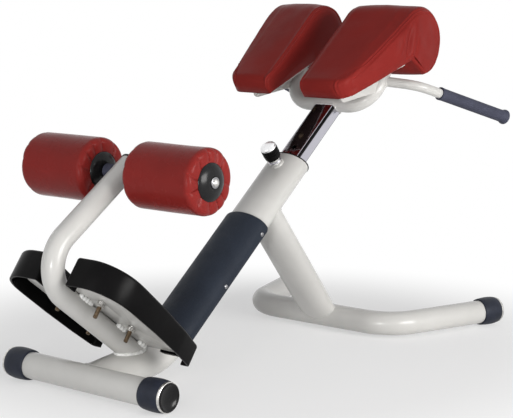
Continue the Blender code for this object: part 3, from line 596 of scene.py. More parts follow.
# ---- front strut
STRUT_B = 55.0
STRUT_A = 31.5
STRUT_LAND = 27.5
STRUT_PRESS = 110.0
STRUT_DIR = Vector((0.643, 0.0, -0.766)).normalized()
STRUT_FRONT = Vector((0.766, 0.0, 0.643)).normalized()
STRUT_AXIS = Vector((718.7, 0.0, 192.0))
SINK = 1.2
PROBE_UP = 150.0
PROBE_LENGTH = 330.0
strut_foot = STRUT_AXIS + STRUT_DIR * (FRONT_MIDDLE - STRUT_AXIS).dot(STRUT_DIR)
strut_outline = ellipse(STRUT_B, STRUT_A, 72)


def strut_place(up, y, n):
    """Point of the strut's skin, up from its foot, which is pressed to land on the tube."""
    goal = (FRONT_MIDDLE - strut_foot).dot(STRUT_FRONT) + n * STRUT_LAND / STRUT_A
    across = n + (goal - n) * smooth(1.0 - up / STRUT_PRESS)
    return strut_foot - STRUT_DIR * up + STRUT_FRONT * across + LEFT * y


def strut_hit(y, n):
    """Where the strut's skin, or a line inside it, meets the beam."""
    return meet(strut_place(PROBE_UP, y, n), -STRUT_DIR, PROBE_LENGTH, in_beam)


strut_lands = [strut_hit(y, n) for y, n in strut_outline]
strut_rings = []
for step in range(15):
    ring = []
    for (y, n), land in zip(strut_outline, strut_lands):
        top = (land - strut_foot).dot(-STRUT_DIR) + SINK
        ring.append(point(*strut_place(top * step / 14.0, y, n)))
    strut_rings.append(ring)
# its closed upper end follows the beam's skin, a little below it
for share in (0.66, 0.33, 0.02):
    ring = [strut_hit(y * share, n * share) - STRUT_DIR * SINK for y, n in strut_outline]
    strut_rings.append([point(*spot) for spot in ring])
dress(loft("strut_tube", strut_rings), paint, "frame", "front_strut")
bead("weld_strut_top", strut_lands, 2.4, "frame", seed=2.0)
in_front_tube = in_tube(FRONT_MIDDLE, LEFT, BASE_R)
foot_seam = []
for y, n in strut_outline:
    # down the skin to the first point inside the front tube
    walk = [strut_place(60.0 - k, y, n) for k in range(61)]
    foot_seam.append(next((spot for spot in walk if in_front_tube(spot) < 1.0), walk[-1]))
bead("weld_strut_foot", foot_seam, 2.4, "frame", seed=3.0)

# ---- ankle post
ANKLE_R = 25.0
ANKLE_LEAN = math.radians(33.9)
ANKLE_CORNER_Z = 293.2
ANKLE_BEND = 80.0
ANKLE_PAST = 32.0
ANKLE_FOOT_T = 165.0
AXLE = Vector((113.8, 0.0, 473.6))
PLATE_T = Vector((0.8, 0.0, -0.6))
PLATE_Q = Vector((0.6, 0.0, 0.8))
PLATE_ORIGIN = Vector((35.0, 0.0, 147.0))
ANKLE_PLUG = [
    (0.0, 7.4), (9.0, 6.9), (16.0, 5.4), (21.0, 3.4), (24.6, 2.0), (26.0, 0.4), (26.2, -1.0),
    (26.2, -4.0), (25.0, -4.4), (21.6, -4.4), (21.6, -6.0), (0.0, -6.0),
]
BEAD_W = 18.0
BEAD_SUNK = 3.4
BRACKET_BEADS = (("high", -108.0, -60.0), ("middle", 32.0, 66.0), ("low", 116.0, 146.0))


def plate_point(t, w, q):
    """Point of the foot plates' slope: t down it, w to the left, q out of it."""
    return PLATE_ORIGIN + PLATE_T * t + PLATE_Q * q + LEFT * w


lean = Vector((math.cos(ANKLE_LEAN), 0.0, math.sin(ANKLE_LEAN)))
ankle_top = AXLE + lean * ANKLE_PAST
ankle_corner = AXLE - lean * ((AXLE.z - ANKLE_CORNER_Z) / math.sin(ANKLE_LEAN))
ankle_foot = plate_point(ANKLE_FOOT_T, 0.0, 0.0)
ankle_line = fillet([ankle_foot, ankle_corner, ankle_top], [ANKLE_BEND], 30)
post_round = ellipse(ANKLE_R, ANKLE_R, 56)
ankle = tube("ankle_tube", densify(ankle_line, 20.0), post_round, LEFT)
dress(ankle, paint, "frame", "ankle_post")
ankle_seam = [meet(plate_point(40.0, y, n), PLATE_T, 160.0, in_beam, 60) for y, n in post_round]
bead("weld_ankle_foot", ankle_seam, 5.2, "frame", pitch=8.0, seed=4.0, look=weld)
plug_place = axis_frame(ankle_top, lean)
lathe("ankle_plug", ANKLE_PLUG, plug_place, 56, plastic, "frame", "ankle_post_plug")

# beads that hold the foot plates' bracket to the post
for tag, low, high in BRACKET_BEADS:
    for side, sign in SIDES:
        stations = [low + (high - low) * k / 28 for k in range(29)]
        line = [plate_point(t, sign * BEAD_W, ANKLE_R - BEAD_SUNK) for t in stations]
        name = "weld_bracket_%s_%s" % (tag, side)
        bead(name, line, 6.4, "frame", closed=False, pitch=10.0, seed=5.0 + sign, look=weld)

# ---- beam cover
COVER_B = 63.0
COVER_A = 42.5
COVER_DROP = math.radians(20.0)
COVER_LOW = -588.0
COVER_HIGH = -210.0
COVER_ROWS = 56
COVER_CORNER = 14.0
COVER_LIP = 3.0
LIP_STEPS = (0.01, 0.3, 0.9, 1.8, COVER_LIP)
SCREW = [
    (0.0, 1.1), (1.6, 1.1), (1.6, 2.3), (3.2, 2.2), (4.6, 1.6), (5.4, 0.5), (5.4, -1.5),
    (0.0, -1.5),
]
SCREW_PLACES = (-238.0, -408.0, -575.0)

# each ring goes up the beam along the moulding's skin and back down along the beam's own
wrap = math.pi + 2.0 * COVER_DROP
angles = [-COVER_DROP + wrap * k / COVER_ROWS for k in range(COVER_ROWS + 1)]
outside = [(COVER_B * math.cos(angle), COVER_A * math.sin(angle)) for angle in angles]
runs = [0.0]
for one, two in zip(outside, outside[1:]):
    runs.append(runs[-1] + math.hypot(two[0] - one[0], two[1] - one[1]))
cover_rings = []
for angle, (y, n), run in zip(angles, outside, runs):
    edge = min(run, runs[-1] - run)
    inward = COVER_CORNER - min(edge, COVER_CORNER)
    cut = COVER_CORNER - math.sqrt(COVER_CORNER ** 2 - inward ** 2)
    low, high = COVER_LOW + cut, COVER_HIGH - cut
    skin_y, skin_n = (BEAM_B + 0.1) * math.cos(angle), (BEAM_A + 0.1) * math.sin(angle)
    flat = high - low - 2.0 * COVER_LIP
    stations = [low + step for step in LIP_STEPS]
    stations += [low + COVER_LIP + flat * k / 24 for k in range(1, 24)]
    stations += [high - step for step in LIP_STEPS[::-1]]
    ring = []
    for s in stations:
        near = min(s - low, high - s, edge + 0.01, COVER_LIP) / COVER_LIP
        rise = 0.15 + 0.85 * math.sqrt(1.0 - (1.0 - near) ** 2)
        ring.append(point(*rail(s, skin_n + (n - skin_n) * rise, skin_y + (y - skin_y) * rise)))
    ring += [point(*rail(s, skin_n, skin_y)) for s in stations[::-1]]
    cover_rings.append(ring)
dress(loft("cover_shell", cover_rings), moulding, "frame", "beam_cover", angle=50.0)
for side, sign in SIDES:
    for index, s in enumerate(SCREW_PLACES):
        place = axis_frame(rail(s, 0.0, sign * COVER_B), (0.0, sign, 0.0))
        lathe("cover_screw_%s_%d" % (side, index), SCREW, place, 28, steel, "frame")

# ---- guide bush and chrome post
BUSH_COUNT = 72
BUSH_END = -40.0
BUSH_SKIN = [
    (52.6, 32.6, BUSH_END), (52.6, 32.6, 0.3), (57.2, 37.2, 0.3), (57.4, 37.4, 1.6),
    (56.8, 36.8, 2.8), (55.4, 35.4, 3.4),
]
BUSH_MOUTH = (69.0, 40.0, 10.4)
BUSH_BORE = (66.8, 37.8, 9.4)
POST_BOX = (66.0, 37.0, 9.0)
POST_CORE = (60.0, 31.0, 6.0)
POST_LOW = -225.0
POST_LENGTH = 434.0
CORE_LENGTH = 416.0
PIN_S = -37.0
HOLE_PITCH = 26.0
HOLE_R = 6.6


def radial(outline):
    """Resample an outline round its middle at even angles."""
    loop = [Vector(spot) for spot in outline]
    out = []
    for x, y in ellipse(1.0, 1.0, BUSH_COUNT):
        ray = Vector((x, y))
        reaches = []
        for one, two in zip(loop, loop[1:] + loop[:1]):
            cross = ray.cross(two - one)
            if abs(cross) > 1e-9 and -1e-6 <= one.cross(ray) / cross <= 1.0 + 1e-6:
                reaches.append(one.cross(two - one) / cross)
        out.append((x * max(reaches), y * max(reaches)))
    return out


bore = radial(rounded_box(*BUSH_BORE))
bush_rows = [(ellipse(half_y, half_n, BUSH_COUNT), s) for half_y, half_n, s in BUSH_SKIN]
bush_rows += [(radial(rounded_box(*BUSH_MOUTH)), 3.4), (bore, 2.4), (bore, BUSH_END)]
bush_rings = [[point(*rail(s, n, y)) for y, n in outline] for outline, s in bush_rows]
bush = loft("bush_collar", bush_rings, closed=True)
dress(bush, plastic, "frame", "guide_bush", angle=30.0)

post_frame = frame_matrix(rail(POST_LOW), LEFT, ABOVE)
post = prism("slide_post", rounded_box(*POST_BOX, 10), 0.0, POST_LENGTH, post_frame)
core_frame = frame_matrix(rail(POST_LOW - 1.0), LEFT, ABOVE)
cuts = [prism("post_core", rounded_box(*POST_CORE), 0.0, CORE_LENGTH, core_frame)]
for k in range(-3, 4):
    s = PIN_S + HOLE_PITCH * k
    cuts.append(rod("post_hole", rail(s, 8.0), rail(s, 25.0), HOLE_R))
carve(post, cuts)
dress(post, chrome, "post", "chrome_post", angle=25.0)
# painted shade: the hollow and the holes' walls, more than 0.4 mm inside the outline, get the gloss
# black
post.data.materials.append(gloss.material)
inward = core_frame.inverted()
for face in post.data.polygons:
    spot = inward @ face.center / MM
    if abs(spot.x) < 32.6 and abs(spot.y) < 18.1 and 0.9 < spot.z < POST_LENGTH:
        face.material_index = 1

# ---- cradle and handles
CRADLE_R = 17.5
CRADLE_C = Vector((872.0, 0.0, 579.0))
CRADLE_RISE = math.radians(56.0)
RISE = Vector((math.cos(CRADLE_RISE), 0.0, math.sin(CRADLE_RISE)))
RISE_LENGTH = 110.0
RISE_NORMAL = RISE.cross(LEFT)
HALF = 131.0
CRADLE_BEND = 72.0
POST_SEAM_S = 180.0
POST_SEAM_REACH = 29.0
HANDLE_R = 12.5
HANDLE_BEND = 70.0
HANDLE_INSIDE = 40.0
HANDLE_ROOT = Vector((917.0, HALF, 643.0))
HANDLE_CORNER = Vector((949.0, 221.0, 633.5))
GRIP_END = Vector((1241.0, 307.0, 541.0))
GRIP_LENGTH = 244.0
GRIP = [
    (0.0, GRIP_LENGTH), (8.0, 243.9), (14.0, 243.4), (17.6, 242.2), (19.2, 240.4),
    (19.6, 238.0), (19.2, 235.4), (18.0, 232.4), (16.9, 229.0), (16.2, 224.0), (16.0, 216.0),
    (16.0, 30.0), (16.1, 14.0), (16.5, 6.0), (17.0, 2.4), (16.9, 0.8), (16.2, 0.0),
    (12.6, 0.0), (12.6, 20.0), (0.0, 20.0),
]

cradle_side = [CRADLE_C + RISE * RISE_LENGTH + LEFT * HALF, CRADLE_C + LEFT * HALF]
cradle_turns = [mirror(spot) for spot in cradle_side] + cradle_side[::-1]
cradle_line = densify(fillet(cradle_turns, [CRADLE_BEND] * 2, 22), 20.0)
cradle = tube("cradle_bar", cradle_line, ellipse(CRADLE_R, CRADLE_R, 44), RISE_NORMAL)
dress(cradle, paint, "post", "cradle_tube")
in_cradle = in_tube(CRADLE_C, LEFT, CRADLE_R)
post_seam = []
for y, n in rounded_box(*POST_BOX, 6):
    low_end = rail(POST_SEAM_S, n, y)
    post_seam.append(meet(low_end, ALONG, POST_SEAM_REACH, in_cradle, 60))
bead("weld_post_top", densify(post_seam + post_seam[:1], 4.0)[:-1], 2.4, "post", seed=8.0)

handle_round = ellipse(HANDLE_R, HANDLE_R, 36)
for side, sign in SIDES:
    root, corner, grip_end = (mirror(spot, sign) for spot in (HANDLE_ROOT, HANDLE_CORNER, GRIP_END))
    reach = (grip_end - corner).normalized()
    away = (corner - root).normalized()
    normal = away.cross(reach).normalized()
    handle_turns = [root, corner, grip_end - reach * HANDLE_INSIDE]
    line = densify(fillet(handle_turns, [HANDLE_BEND], 18), 18.0)
    handle = tube("handle_" + side, line, handle_round, normal)
    dress(handle, paint, "post", "handle_tube_" + side)
    leg = CRADLE_C + LEFT * sign * HALF
    in_leg = in_tube(leg, RISE, CRADLE_R)
    lift = normal.cross(away)
    starts = [root + away * 45.0 + normal * a + lift * b for a, b in handle_round]
    ring = [meet(start, -away, 45.0, in_leg, 60) for start in starts]
    bead("weld_handle_" + side, ring, 2.0, "post", seed=9.0 + sign)
    grip_frame = axis_frame(grip_end - reach * GRIP_LENGTH, reach)
    lathe("foam_grip_" + side, GRIP, grip_frame, 48, foam, "post", "grip_" + side)
    # weld between the side flange and the cradle's leg
    foot = leg - RISE_NORMAL * 16.4 + LEFT * sign * 5.4
    line = [foot + RISE * (58.0 + 46.0 * k / 9.0) for k in range(10)]
    bead("weld_flange_" + side, line, 2.0, "post", closed=False, seed=11.0 + sign)

# ---- pads
PAD_IN = 52.0
NOSE_OUT = 180.0
ROLL_OUT = 226.0
ROLL_FROM = 930.0
PAD_LOW = Vector((704.0, 613.0, 0.0))
PAD_NOSE = Vector((680.0, 643.0, 0.0))
SLOPE = 0.398
NOSE_R = 26.0
NOTCH_R = 10.0
ROLL_CENTRE = Vector((965.0, 745.0, 0.0))
ROLL_R = 85.0
ROLL_END = math.radians(-84.6)
NOTCH_X = 920.0
HUB = Vector((900.0, 720.0))
INNER_HUB = Vector((870.0, 720.0))
WAIST_X = 900.0
WAIST_Z = 715.0
INNER_SHIFT = -37.0
OUTER_DRAW = 21.0
EDGE_R = 9.0
INNER_WRAP = 7.0
OUTER_WRAP = 26.0
ARC_STEPS = 15
NOSE_ROWS = 11
TOP_ROWS = 26
ROLL_ROWS = 44
TOP_END = NOSE_ROWS + TOP_ROWS + ROLL_ROWS
QUARTER = 0.5 * math.pi


def pad_profile(shift, draw):
    """Outline from the low nose corner over the top, round the roll and back along the board.

    In it X is forward and Y is up; shift moves the roll and draw pulls the nose forward.
    """

    def on_roll(angle):
        return centre + Vector((math.cos(angle), math.sin(angle), 0.0)) * ROLL_R

    centre = ROLL_CENTRE + Vector((shift, 0.0, 0.0))
    drawn = Vector((draw, SLOPE * draw, 0.0))
    low, nose = PAD_LOW + drawn, PAD_NOSE + drawn
    reach = centre - nose
    touch = math.atan2(reach.y, reach.x) + math.asin(ROLL_R / reach.length) + QUARTER
    tangent = on_roll(touch)
    rows = fillet([low, nose, tangent], [NOSE_R], NOSE_ROWS - 1)[:-1]
    top = rows[-1]
    rows.extend(top.lerp(tangent, k / TOP_ROWS) for k in range(1, TOP_ROWS))
    rows.extend(on_roll(touch + (ROLL_END - touch) * k / ROLL_ROWS) for k in range(ROLL_ROWS + 1))
    notch_x = NOTCH_X + shift
    notch = Vector((notch_x, PAD_LOW.y + SLOPE * (notch_x - PAD_LOW.x), 0.0))
    last = rows[-1]
    arc = fillet([last, notch, low], [NOTCH_R], 5)[1:-1]
    rows.extend(last.lerp(arc[0], k / 5.0) for k in range(1, 5))
    rows.extend(arc)
    rows.extend(arc[-1].lerp(low, k / 20.0) for k in range(1, 20))
    return [row.xy for row in rows]


def pad_outer_y(x):
    """How far from the middle plane the outer panel stands at x."""
    share = min(max((x - PAD_NOSE.x) / (ROLL_FROM - PAD_NOSE.x), 0.0), 1.0)
    return NOSE_OUT + (ROLL_OUT - NOSE_OUT) * share + 6.0 * math.sin(math.pi * share)


def with_normals(loop):
    """Each point of a loop that runs clockwise, with its outward direction."""
    out = []
    for before, here, after in zip(loop[-1:] + loop[:-1], loop, loop[1:] + loop[:1]):
        run = (here - before).normalized() + (after - here).normalized()
        out.append((here, Vector((-run.y, run.x)).normalized()))
    return out


def groove(value, centre, width):
    """Bell that is 1 at the centre."""
    return math.exp(-((value - centre) / width) ** 2)


def towards_nose(x):
    """0 ahead of the waist, 1 at the nose."""
    return smooth((WAIST_X - x) / 200.0)


# in the functions below, k counts the profile's points from the low nose corner
def top_weight(k):
    """1 over the padded top and the roll, 0 along the board."""
    if k < 4:
        return smooth(k / 4.0)
    return smooth((TOP_END + 8 - k) / 14.0)


def edge_radius(k):
    """Radius of the rounded edge between the top and the outer panel: larger over the roll."""
    if k < 34:
        return EDGE_R + 5.0 * (1.0 - smooth(k / 9.0))
    if k <= TOP_END:
        return EDGE_R + 10.0 * smooth((k - 34) / 14.0) * smooth((TOP_END - k) / 16.0)
    return 7.0


def nose_lift(k):
    """The stuffing pushes the nose out a little."""
    return 4.5 * groove(k, 8.0, 4.5)


def seam(k, along, wrap):
    """Rise of the sewn seam: a thin ridge between two tucks, further in round the nose."""
    gap = along - (5.5 + wrap * (1.0 - smooth((k - 8.0) / 9.0)))
    return 1.7 * groove(gap, 0.0, 1.5) - 1.2 * groove(gap, 3.6, 1.7) - 1.2 * groove(gap, -3.6, 1.7)


def nose_draw(gap):
    """How far the nose is drawn back, by the distance from the outer panel."""
    return OUTER_DRAW * max(1.0 - gap / 34.0, 0.0) ** 2.6


def pad_row(sign, shift, draw, y_of, lift_of):
    """One ring of pad points: the profile raised by a lift, at a y for each point."""
    ring = []
    for k, (spot, away) in enumerate(with_normals(pad_profile(shift, draw))):
        place = spot + away * lift_of(k)
        ring.append((place.x, sign * y_of(k, spot.x - draw), place.y))
    return ring


def edge_rows(sign, outer):
    """Rounded edge of one side, from the side panel's rim to the top panel."""
    wrap = OUTER_WRAP if outer else INNER_WRAP
    rows = []
    for step in range(ARC_STEPS + 1):
        turn = QUARTER * (1.0 - step / ARC_STEPS)

        def edge(k):
            radius = edge_radius(k) if outer else EDGE_R
            return radius, seam(k, radius * (QUARTER - turn), wrap) * top_weight(k)

        def lift_of(k):
            radius, rise = edge(k)
            return nose_lift(k) + rise * math.cos(turn) - radius * (1.0 - math.cos(turn))

        def y_of(k, x):
            radius, rise = edge(k)
            inward = radius * (1.0 - math.sin(turn)) - rise * math.sin(turn)
            return pad_outer_y(x) - inward if outer else PAD_IN + inward

        if outer:
            gap = 1.0 - math.sin(turn)
            rows.append(pad_row(sign, -2.0 * gap, nose_draw(EDGE_R * gap), y_of, lift_of))
        else:
            rows.append(pad_row(sign, INNER_SHIFT, 0.0, y_of, lift_of))
    return rows


def inner_rows(sign):
    """Flat inner panel, from its middle to its rim."""
    base = with_normals(pad_profile(INNER_SHIFT, 0.0))
    rows = []
    for step in range(1, 10):
        scale = step / 10.0
        y = sign * (PAD_IN - 3.5 * (1.0 - scale ** 2))
        row = []
        for k, (spot, away) in enumerate(base):
            rim = spot - away * (EDGE_R - nose_lift(k))
            flat = INNER_HUB + (rim - INNER_HUB) * scale
            row.append((flat.x, y, flat.y))
        rows.append(row)
    return rows


def top_rows(sign):
    """Crowned top panel; its rows lie close together where the seam crosses the nose."""
    span = NOSE_OUT - PAD_IN - 2.0 * EDGE_R
    rooms = [span * (1.0 - j / 16.0) for j in range(17)]
    rooms = [room for room in rooms if room > 32.0] + [32.0 - 1.5 * j for j in range(21)] + [0.6]
    rows = []
    for room in rooms:
        share = 1.0 - room / span

        def y_of(k, x):
            inner, outer = PAD_IN + EDGE_R, pad_outer_y(x) - edge_radius(k)
            return inner + (outer - inner) * share

        def lift_of(k):
            crown = 3.0 * (1.0 - (2.0 * share - 1.0) ** 2)
            crown += seam(k, room + edge_radius(k) * QUARTER, OUTER_WRAP)
            crown += seam(k, span - room + EDGE_R * QUARTER, INNER_WRAP)
            return nose_lift(k) + crown * top_weight(k)

        shift = INNER_SHIFT + 30.0 * min(share * 1.15, 1.0) + 5.0 * smooth((share - 0.8) / 0.2)
        rows.append(pad_row(sign, shift, nose_draw(room + EDGE_R), y_of, lift_of))
    return rows


def folds(x, z, scale):
    """Relief of the outer panel's folds, where the cover goes round the roll."""
    reach = smooth((z - 698.0) / 22.0) * smooth((812.0 - z) / 45.0) * smooth((1.0 - scale) / 0.10)
    relief = 3.8 * groove(x, 866.0 + (z - 728.0) * 0.42, 11.0)
    relief -= 6.6 * groove(x, 893.0 + (z - 718.0) * 0.25, 7.5)
    relief += 2.6 * smooth((x - 896.0) / 16.0) * smooth((990.0 - x) / 60.0)
    relief -= 1.6 * groove(x, 918.0 + (z - 718.0) * 0.30, 6.0) * smooth((770.0 - z) / 40.0)
    return relief * reach


def outer_rows(sign):
    """Outer panel, from its rim to its middle."""
    base = with_normals(pad_profile(0.0, OUTER_DRAW))
    rows = []
    for step in range(1, 46):
        scale = 1.0 - step / 46.0
        row = []
        for k, (spot, away) in enumerate(base):
            rim = spot - away * (edge_radius(k) - nose_lift(k))
            x, z = HUB + (rim - HUB) * scale
            y = pad_outer_y(x - OUTER_DRAW * towards_nose(x))
            y += 4.0 * (1.0 - scale ** 2) + folds(x, z, scale)
            swell = noise.noise(Vector((x, z, 7.0 * sign)) * 0.030)
            y += 1.4 * smooth((1.0 - scale) / 0.2) * swell
            row.append((x, sign * y, z))
        rows.append(row)
    return rows


def stuffed(ring, sign):
    """Uneven stuffing, and the nose a little further back: more on the right pad."""
    back = 8.0 if sign < 0.0 else 3.0
    inward = 4.0 if sign < 0.0 else 0.0
    row = []
    for k, (x, y, z) in enumerate(ring):
        spot = Vector((x, y, z))
        soft = noise.noise(spot * 0.022) * 1.2 + noise.noise(spot * 0.07) * 0.4
        soft *= top_weight(k)
        away = Vector((x - WAIST_X, 0.0, z - WAIST_Z)).normalized()
        sag = towards_nose(x)
        y += sag * inward * smooth((100.0 - abs(y)) / 48.0)
        row.append(point(x + away.x * soft - back * sag, y, z + away.z * soft - 0.35 * back * sag))
    return row


for side, sign in SIDES:
    rings = inner_rows(sign) + edge_rows(sign, False) + top_rows(sign)
    rings += edge_rows(sign, True)[::-1] + outer_rows(sign)
    pad = loft("hip_pad_" + side, [stuffed(ring, sign) for ring in rings])
    dress(pad, vinyl, "post", "pad_" + side, angle=75.0)

# ---- foot plates
SKIN = 6.0
TRAY_ROUND = 7.4
TRAY_LOOP = [
    (-185.0, 42.0), (161.0, 57.0), (161.0, 149.0), (90.0, 162.0), (0.0, 170.0), (-90.0, 171.0),
    (-185.0, 166.0),
]
TRAY_RADII = [8.0, 12.0, 13.0, 150.0, 260.0, 0.0, 84.0]
TRAY_MOUTH = ((-153.0, 151.0), (29.0, 67.0), (-8.0, 31.0))
TRAY_NOTCH = ((130.0, 180.0), (30.0, 124.0), (-25.0, 21.0))
BRACKET_LOOP = [(-150.0, -125.0), (149.0, -125.0), (149.0, 125.0), (-150.0, 125.0)]
BRACKET_CORNER = 30.0
BRACKET_Q = 25.3
BRACKET_THICK = 5.0
BORE_R = 4.7
BOSS_R = 11.0
BOLT_W = 57.0
HEAD_SUNK = 7.7
BOLT_PLACES = (("rear", -77.0), ("front", 38.0))
NUT = [(4.0, 22.4), (9.6, 21.8), (9.6, 17.0), (9.6, 14.4), (7.4, 13.4), (4.0, 13.4)]
BOLT_TIP = [(0.0, 14.4)]
BOLT_TIP += [(5.1 if k % 2 else 4.3, -10.6 + k * 1.25) for k in reversed(range(20))]
BOLT_TIP += [(4.8, -11.2), (3.6, -12.2), (0.0, -12.4)]


def plate_top(t):
    return 76.0 - 22.0 / 345.0 * (t + 183.0)


def plate_rim(t):
    return 9.0 - 6.0 / 340.0 * (t + 183.0)


def tray_outline(sign, inset):
    """Outline of a foot plate on its slope, drawn in by the inset."""
    loop = [Vector(spot) for spot in round_corners(TRAY_LOOP, TRAY_RADII, 12)]
    drawn = []
    for before, here, after in zip(loop[-1:] + loop[:-1], loop, loop[1:] + loop[:1]):
        one, two = (here - before).normalized(), (after - here).normalized()
        turn = Vector((-one.y - two.y, one.x + two.x)).normalized()
        lean = max(turn.dot(Vector((-one.y, one.x))), 0.5)
        spot = here + turn * (inset / lean)
        drawn.append((spot.x, sign * spot.y))
    return drawn


def tray_shell(name, sign):
    """Hollow foot plate, open below: rounded top edge, even walls and a softened rim."""
    levels = []
    for step in range(8):
        turn = QUARTER * (1.0 - step / 7.0)
        inset = TRAY_ROUND * (1.0 - math.cos(turn))
        levels.append((inset, plate_top, TRAY_ROUND * (math.sin(turn) - 1.0)))
    for inset, rise in ((0.0, 1.4), (0.4, 0.4), (1.4, 0.0), (4.8, 0.0), (5.7, 0.3), (SKIN, 1.2)):
        levels.append((inset, plate_rim, rise))
    levels.append((SKIN, plate_top, -SKIN))
    rings = []
    for inset, height_of, rise in levels:
        outline = tray_outline(sign, inset)
        rings.append([point(*plate_point(t, w, height_of(t) + rise)) for t, w in outline])
    return loft(name, rings)


def plate_frame(q):
    return frame_matrix(plate_point(0.0, 0.0, q), PLATE_T, LEFT)


def tray_cut(sign, stations, widths, heights):
    """Box across one foot plate, to be cut out of it."""
    widths = sorted(sign * w for w in widths)
    outline = [(stations[i], widths[j]) for i, j in ((0, 0), (1, 0), (1, 1), (0, 1))]
    return prism("cut", outline, *heights, plate_frame(0.0))


def hexagon(index, angle, radius, height):
    if index in (1, 2, 3):
        wedge = (angle + math.pi / 6.0) % (math.pi / 3.0) - math.pi / 6.0
        return radius * 0.866 / math.cos(wedge), height
    return radius, height


def bolt_profile(head):
    return [
        (0.0, head + 5.4), (3.4, head + 5.2), (6.2, head + 4.2), (7.8, head + 2.0), (8.2, head),
        (4.2, head), (4.2, 25.0), (9.2, 25.0), (9.6, 24.4), (9.6, 23.4), (9.2, 22.8),
        (4.2, 22.6), (4.2, 5.0), (0.0, 5.0),
    ]


bracket_outline = round_corners(BRACKET_LOOP, [BRACKET_CORNER] * 4, 12)
bracket = prism("bracket_plate", bracket_outline, 0.0, BRACKET_THICK, plate_frame(BRACKET_Q))
bores = []
for tag, t in BOLT_PLACES:
    for side, sign in SIDES:
        w = sign * BOLT_W
        bores.append(rod("bore", plate_point(t, w, 20.0), plate_point(t, w, 35.0), BORE_R))
carve(bracket, bores, width=0.9)
dress(bracket, paint, "frame", "foot_plate_bracket", angle=34.0)

for side, sign in SIDES:
    w = sign * BOLT_W
    tray = tray_shell("tread_" + side, sign)
    for box in (TRAY_MOUTH, TRAY_NOTCH):
        carve(tray, [tray_cut(sign, *box)])
    bosses = []
    recesses = []
    for tag, t in BOLT_PLACES:
        top = plate_top(t)
        place = axis_frame(plate_point(t, w, 0.0), PLATE_Q)
        bosses.append(rod("boss", plate_point(t, w, 31.0), plate_point(t, w, top - 3.0), BOSS_R))
        recess = [
            (0.0, top + 5.0), (9.0, top + 5.0), (9.0, top - 8.0), (4.6, top - 8.0), (4.6, 20.0),
            (0.0, 20.0),
        ]
        recesses.append(turned("recess", recess, place, 28))
    carve(tray, bosses, "UNION")
    carve(tray, recesses)
    dress(tray, plastic, "frame", "foot_plate_" + side, angle=32.0)
    for tag, t in BOLT_PLACES:
        end = "_%s_%s" % (side, tag)
        place = axis_frame(plate_point(t, w, 0.0), PLATE_Q)
        bolt = bolt_profile(plate_top(t) - HEAD_SUNK)
        lathe("tread_bolt" + end, bolt, place, 32, zinc, "frame", "foot_plate_bolt" + end)
        lathe("tread_nut" + end, NUT, place, 36, zinc, "frame", angle=30.0, shape=hexagon)
        lathe("tread_bolt_tip" + end, BOLT_TIP, place, 28, thread, "frame", angle=50.0)

# ---- ankle rollers
ROLLER_R = 72.0
ROLLER_IN = 60.6
ROLLER_OUT = 250.6
ROLLER_ROUND = 13.0
PLEATS = 11
AXLE_ROD = [(0.0, 258.0), (9.0, 258.0), (10.0, 257.0), (10.0, -257.0), (9.0, -258.0), (0.0, -258.0)]
DISC = [
    (12.0, 9.4), (12.8, 10.6), (14.0, 11.2), (18.0, 11.0), (23.0, 10.2), (28.0, 8.9),
    (33.0, 7.0), (37.0, 4.9), (40.0, 2.8), (41.2, 1.4), (41.4, 0.5), (40.6, 0.0), (12.0, 0.0),
]
END_BOLT = [
    (0.0, 269.6), (3.2, 269.3), (6.0, 268.2), (7.8, 266.0), (8.2, 264.4), (7.4, 264.0),
    (7.4, 258.3), (0.0, 258.3),
]
WASHER = [(7.6, 264.3), (11.2, 264.3), (12.1, 263.8), (12.1, 262.5), (11.0, 262.2), (7.6, 262.2)]
SPACER = [(10.3, 48.2), (15.2, 48.2), (16.0, 47.4), (16.0, 26.2), (15.2, 25.2), (10.3, 25.2)]

lathe("axle_rod", AXLE_ROD, axis_frame(AXLE, LEFT), 40, steel, "frame", "ankle_axle")


def roller_end(end, outward):
    """(radius, height, share of pleat) from the hole over the soft edge to the side."""
    part = [(14.4, end, 0.0), (30.0, end, 0.0)]
    part += [(38.0 + 3.0 * k, end, min(1.0, 0.25 + 0.25 * k)) for k in range(8)]
    for k in range(1, 13):
        angle = math.radians(7.5 * k)
        radius = ROLLER_R - ROLLER_ROUND * (1.0 - math.sin(angle))
        height = end - outward * ROLLER_ROUND * (1.0 - math.cos(angle))
        part.append((radius, height, 1.0 - 0.85 * smooth(k / 12.0)))
    part.append((ROLLER_R, end - outward * 18.0, 0.10))
    part.append((ROLLER_R, end - outward * 26.0, 0.03))
    return part


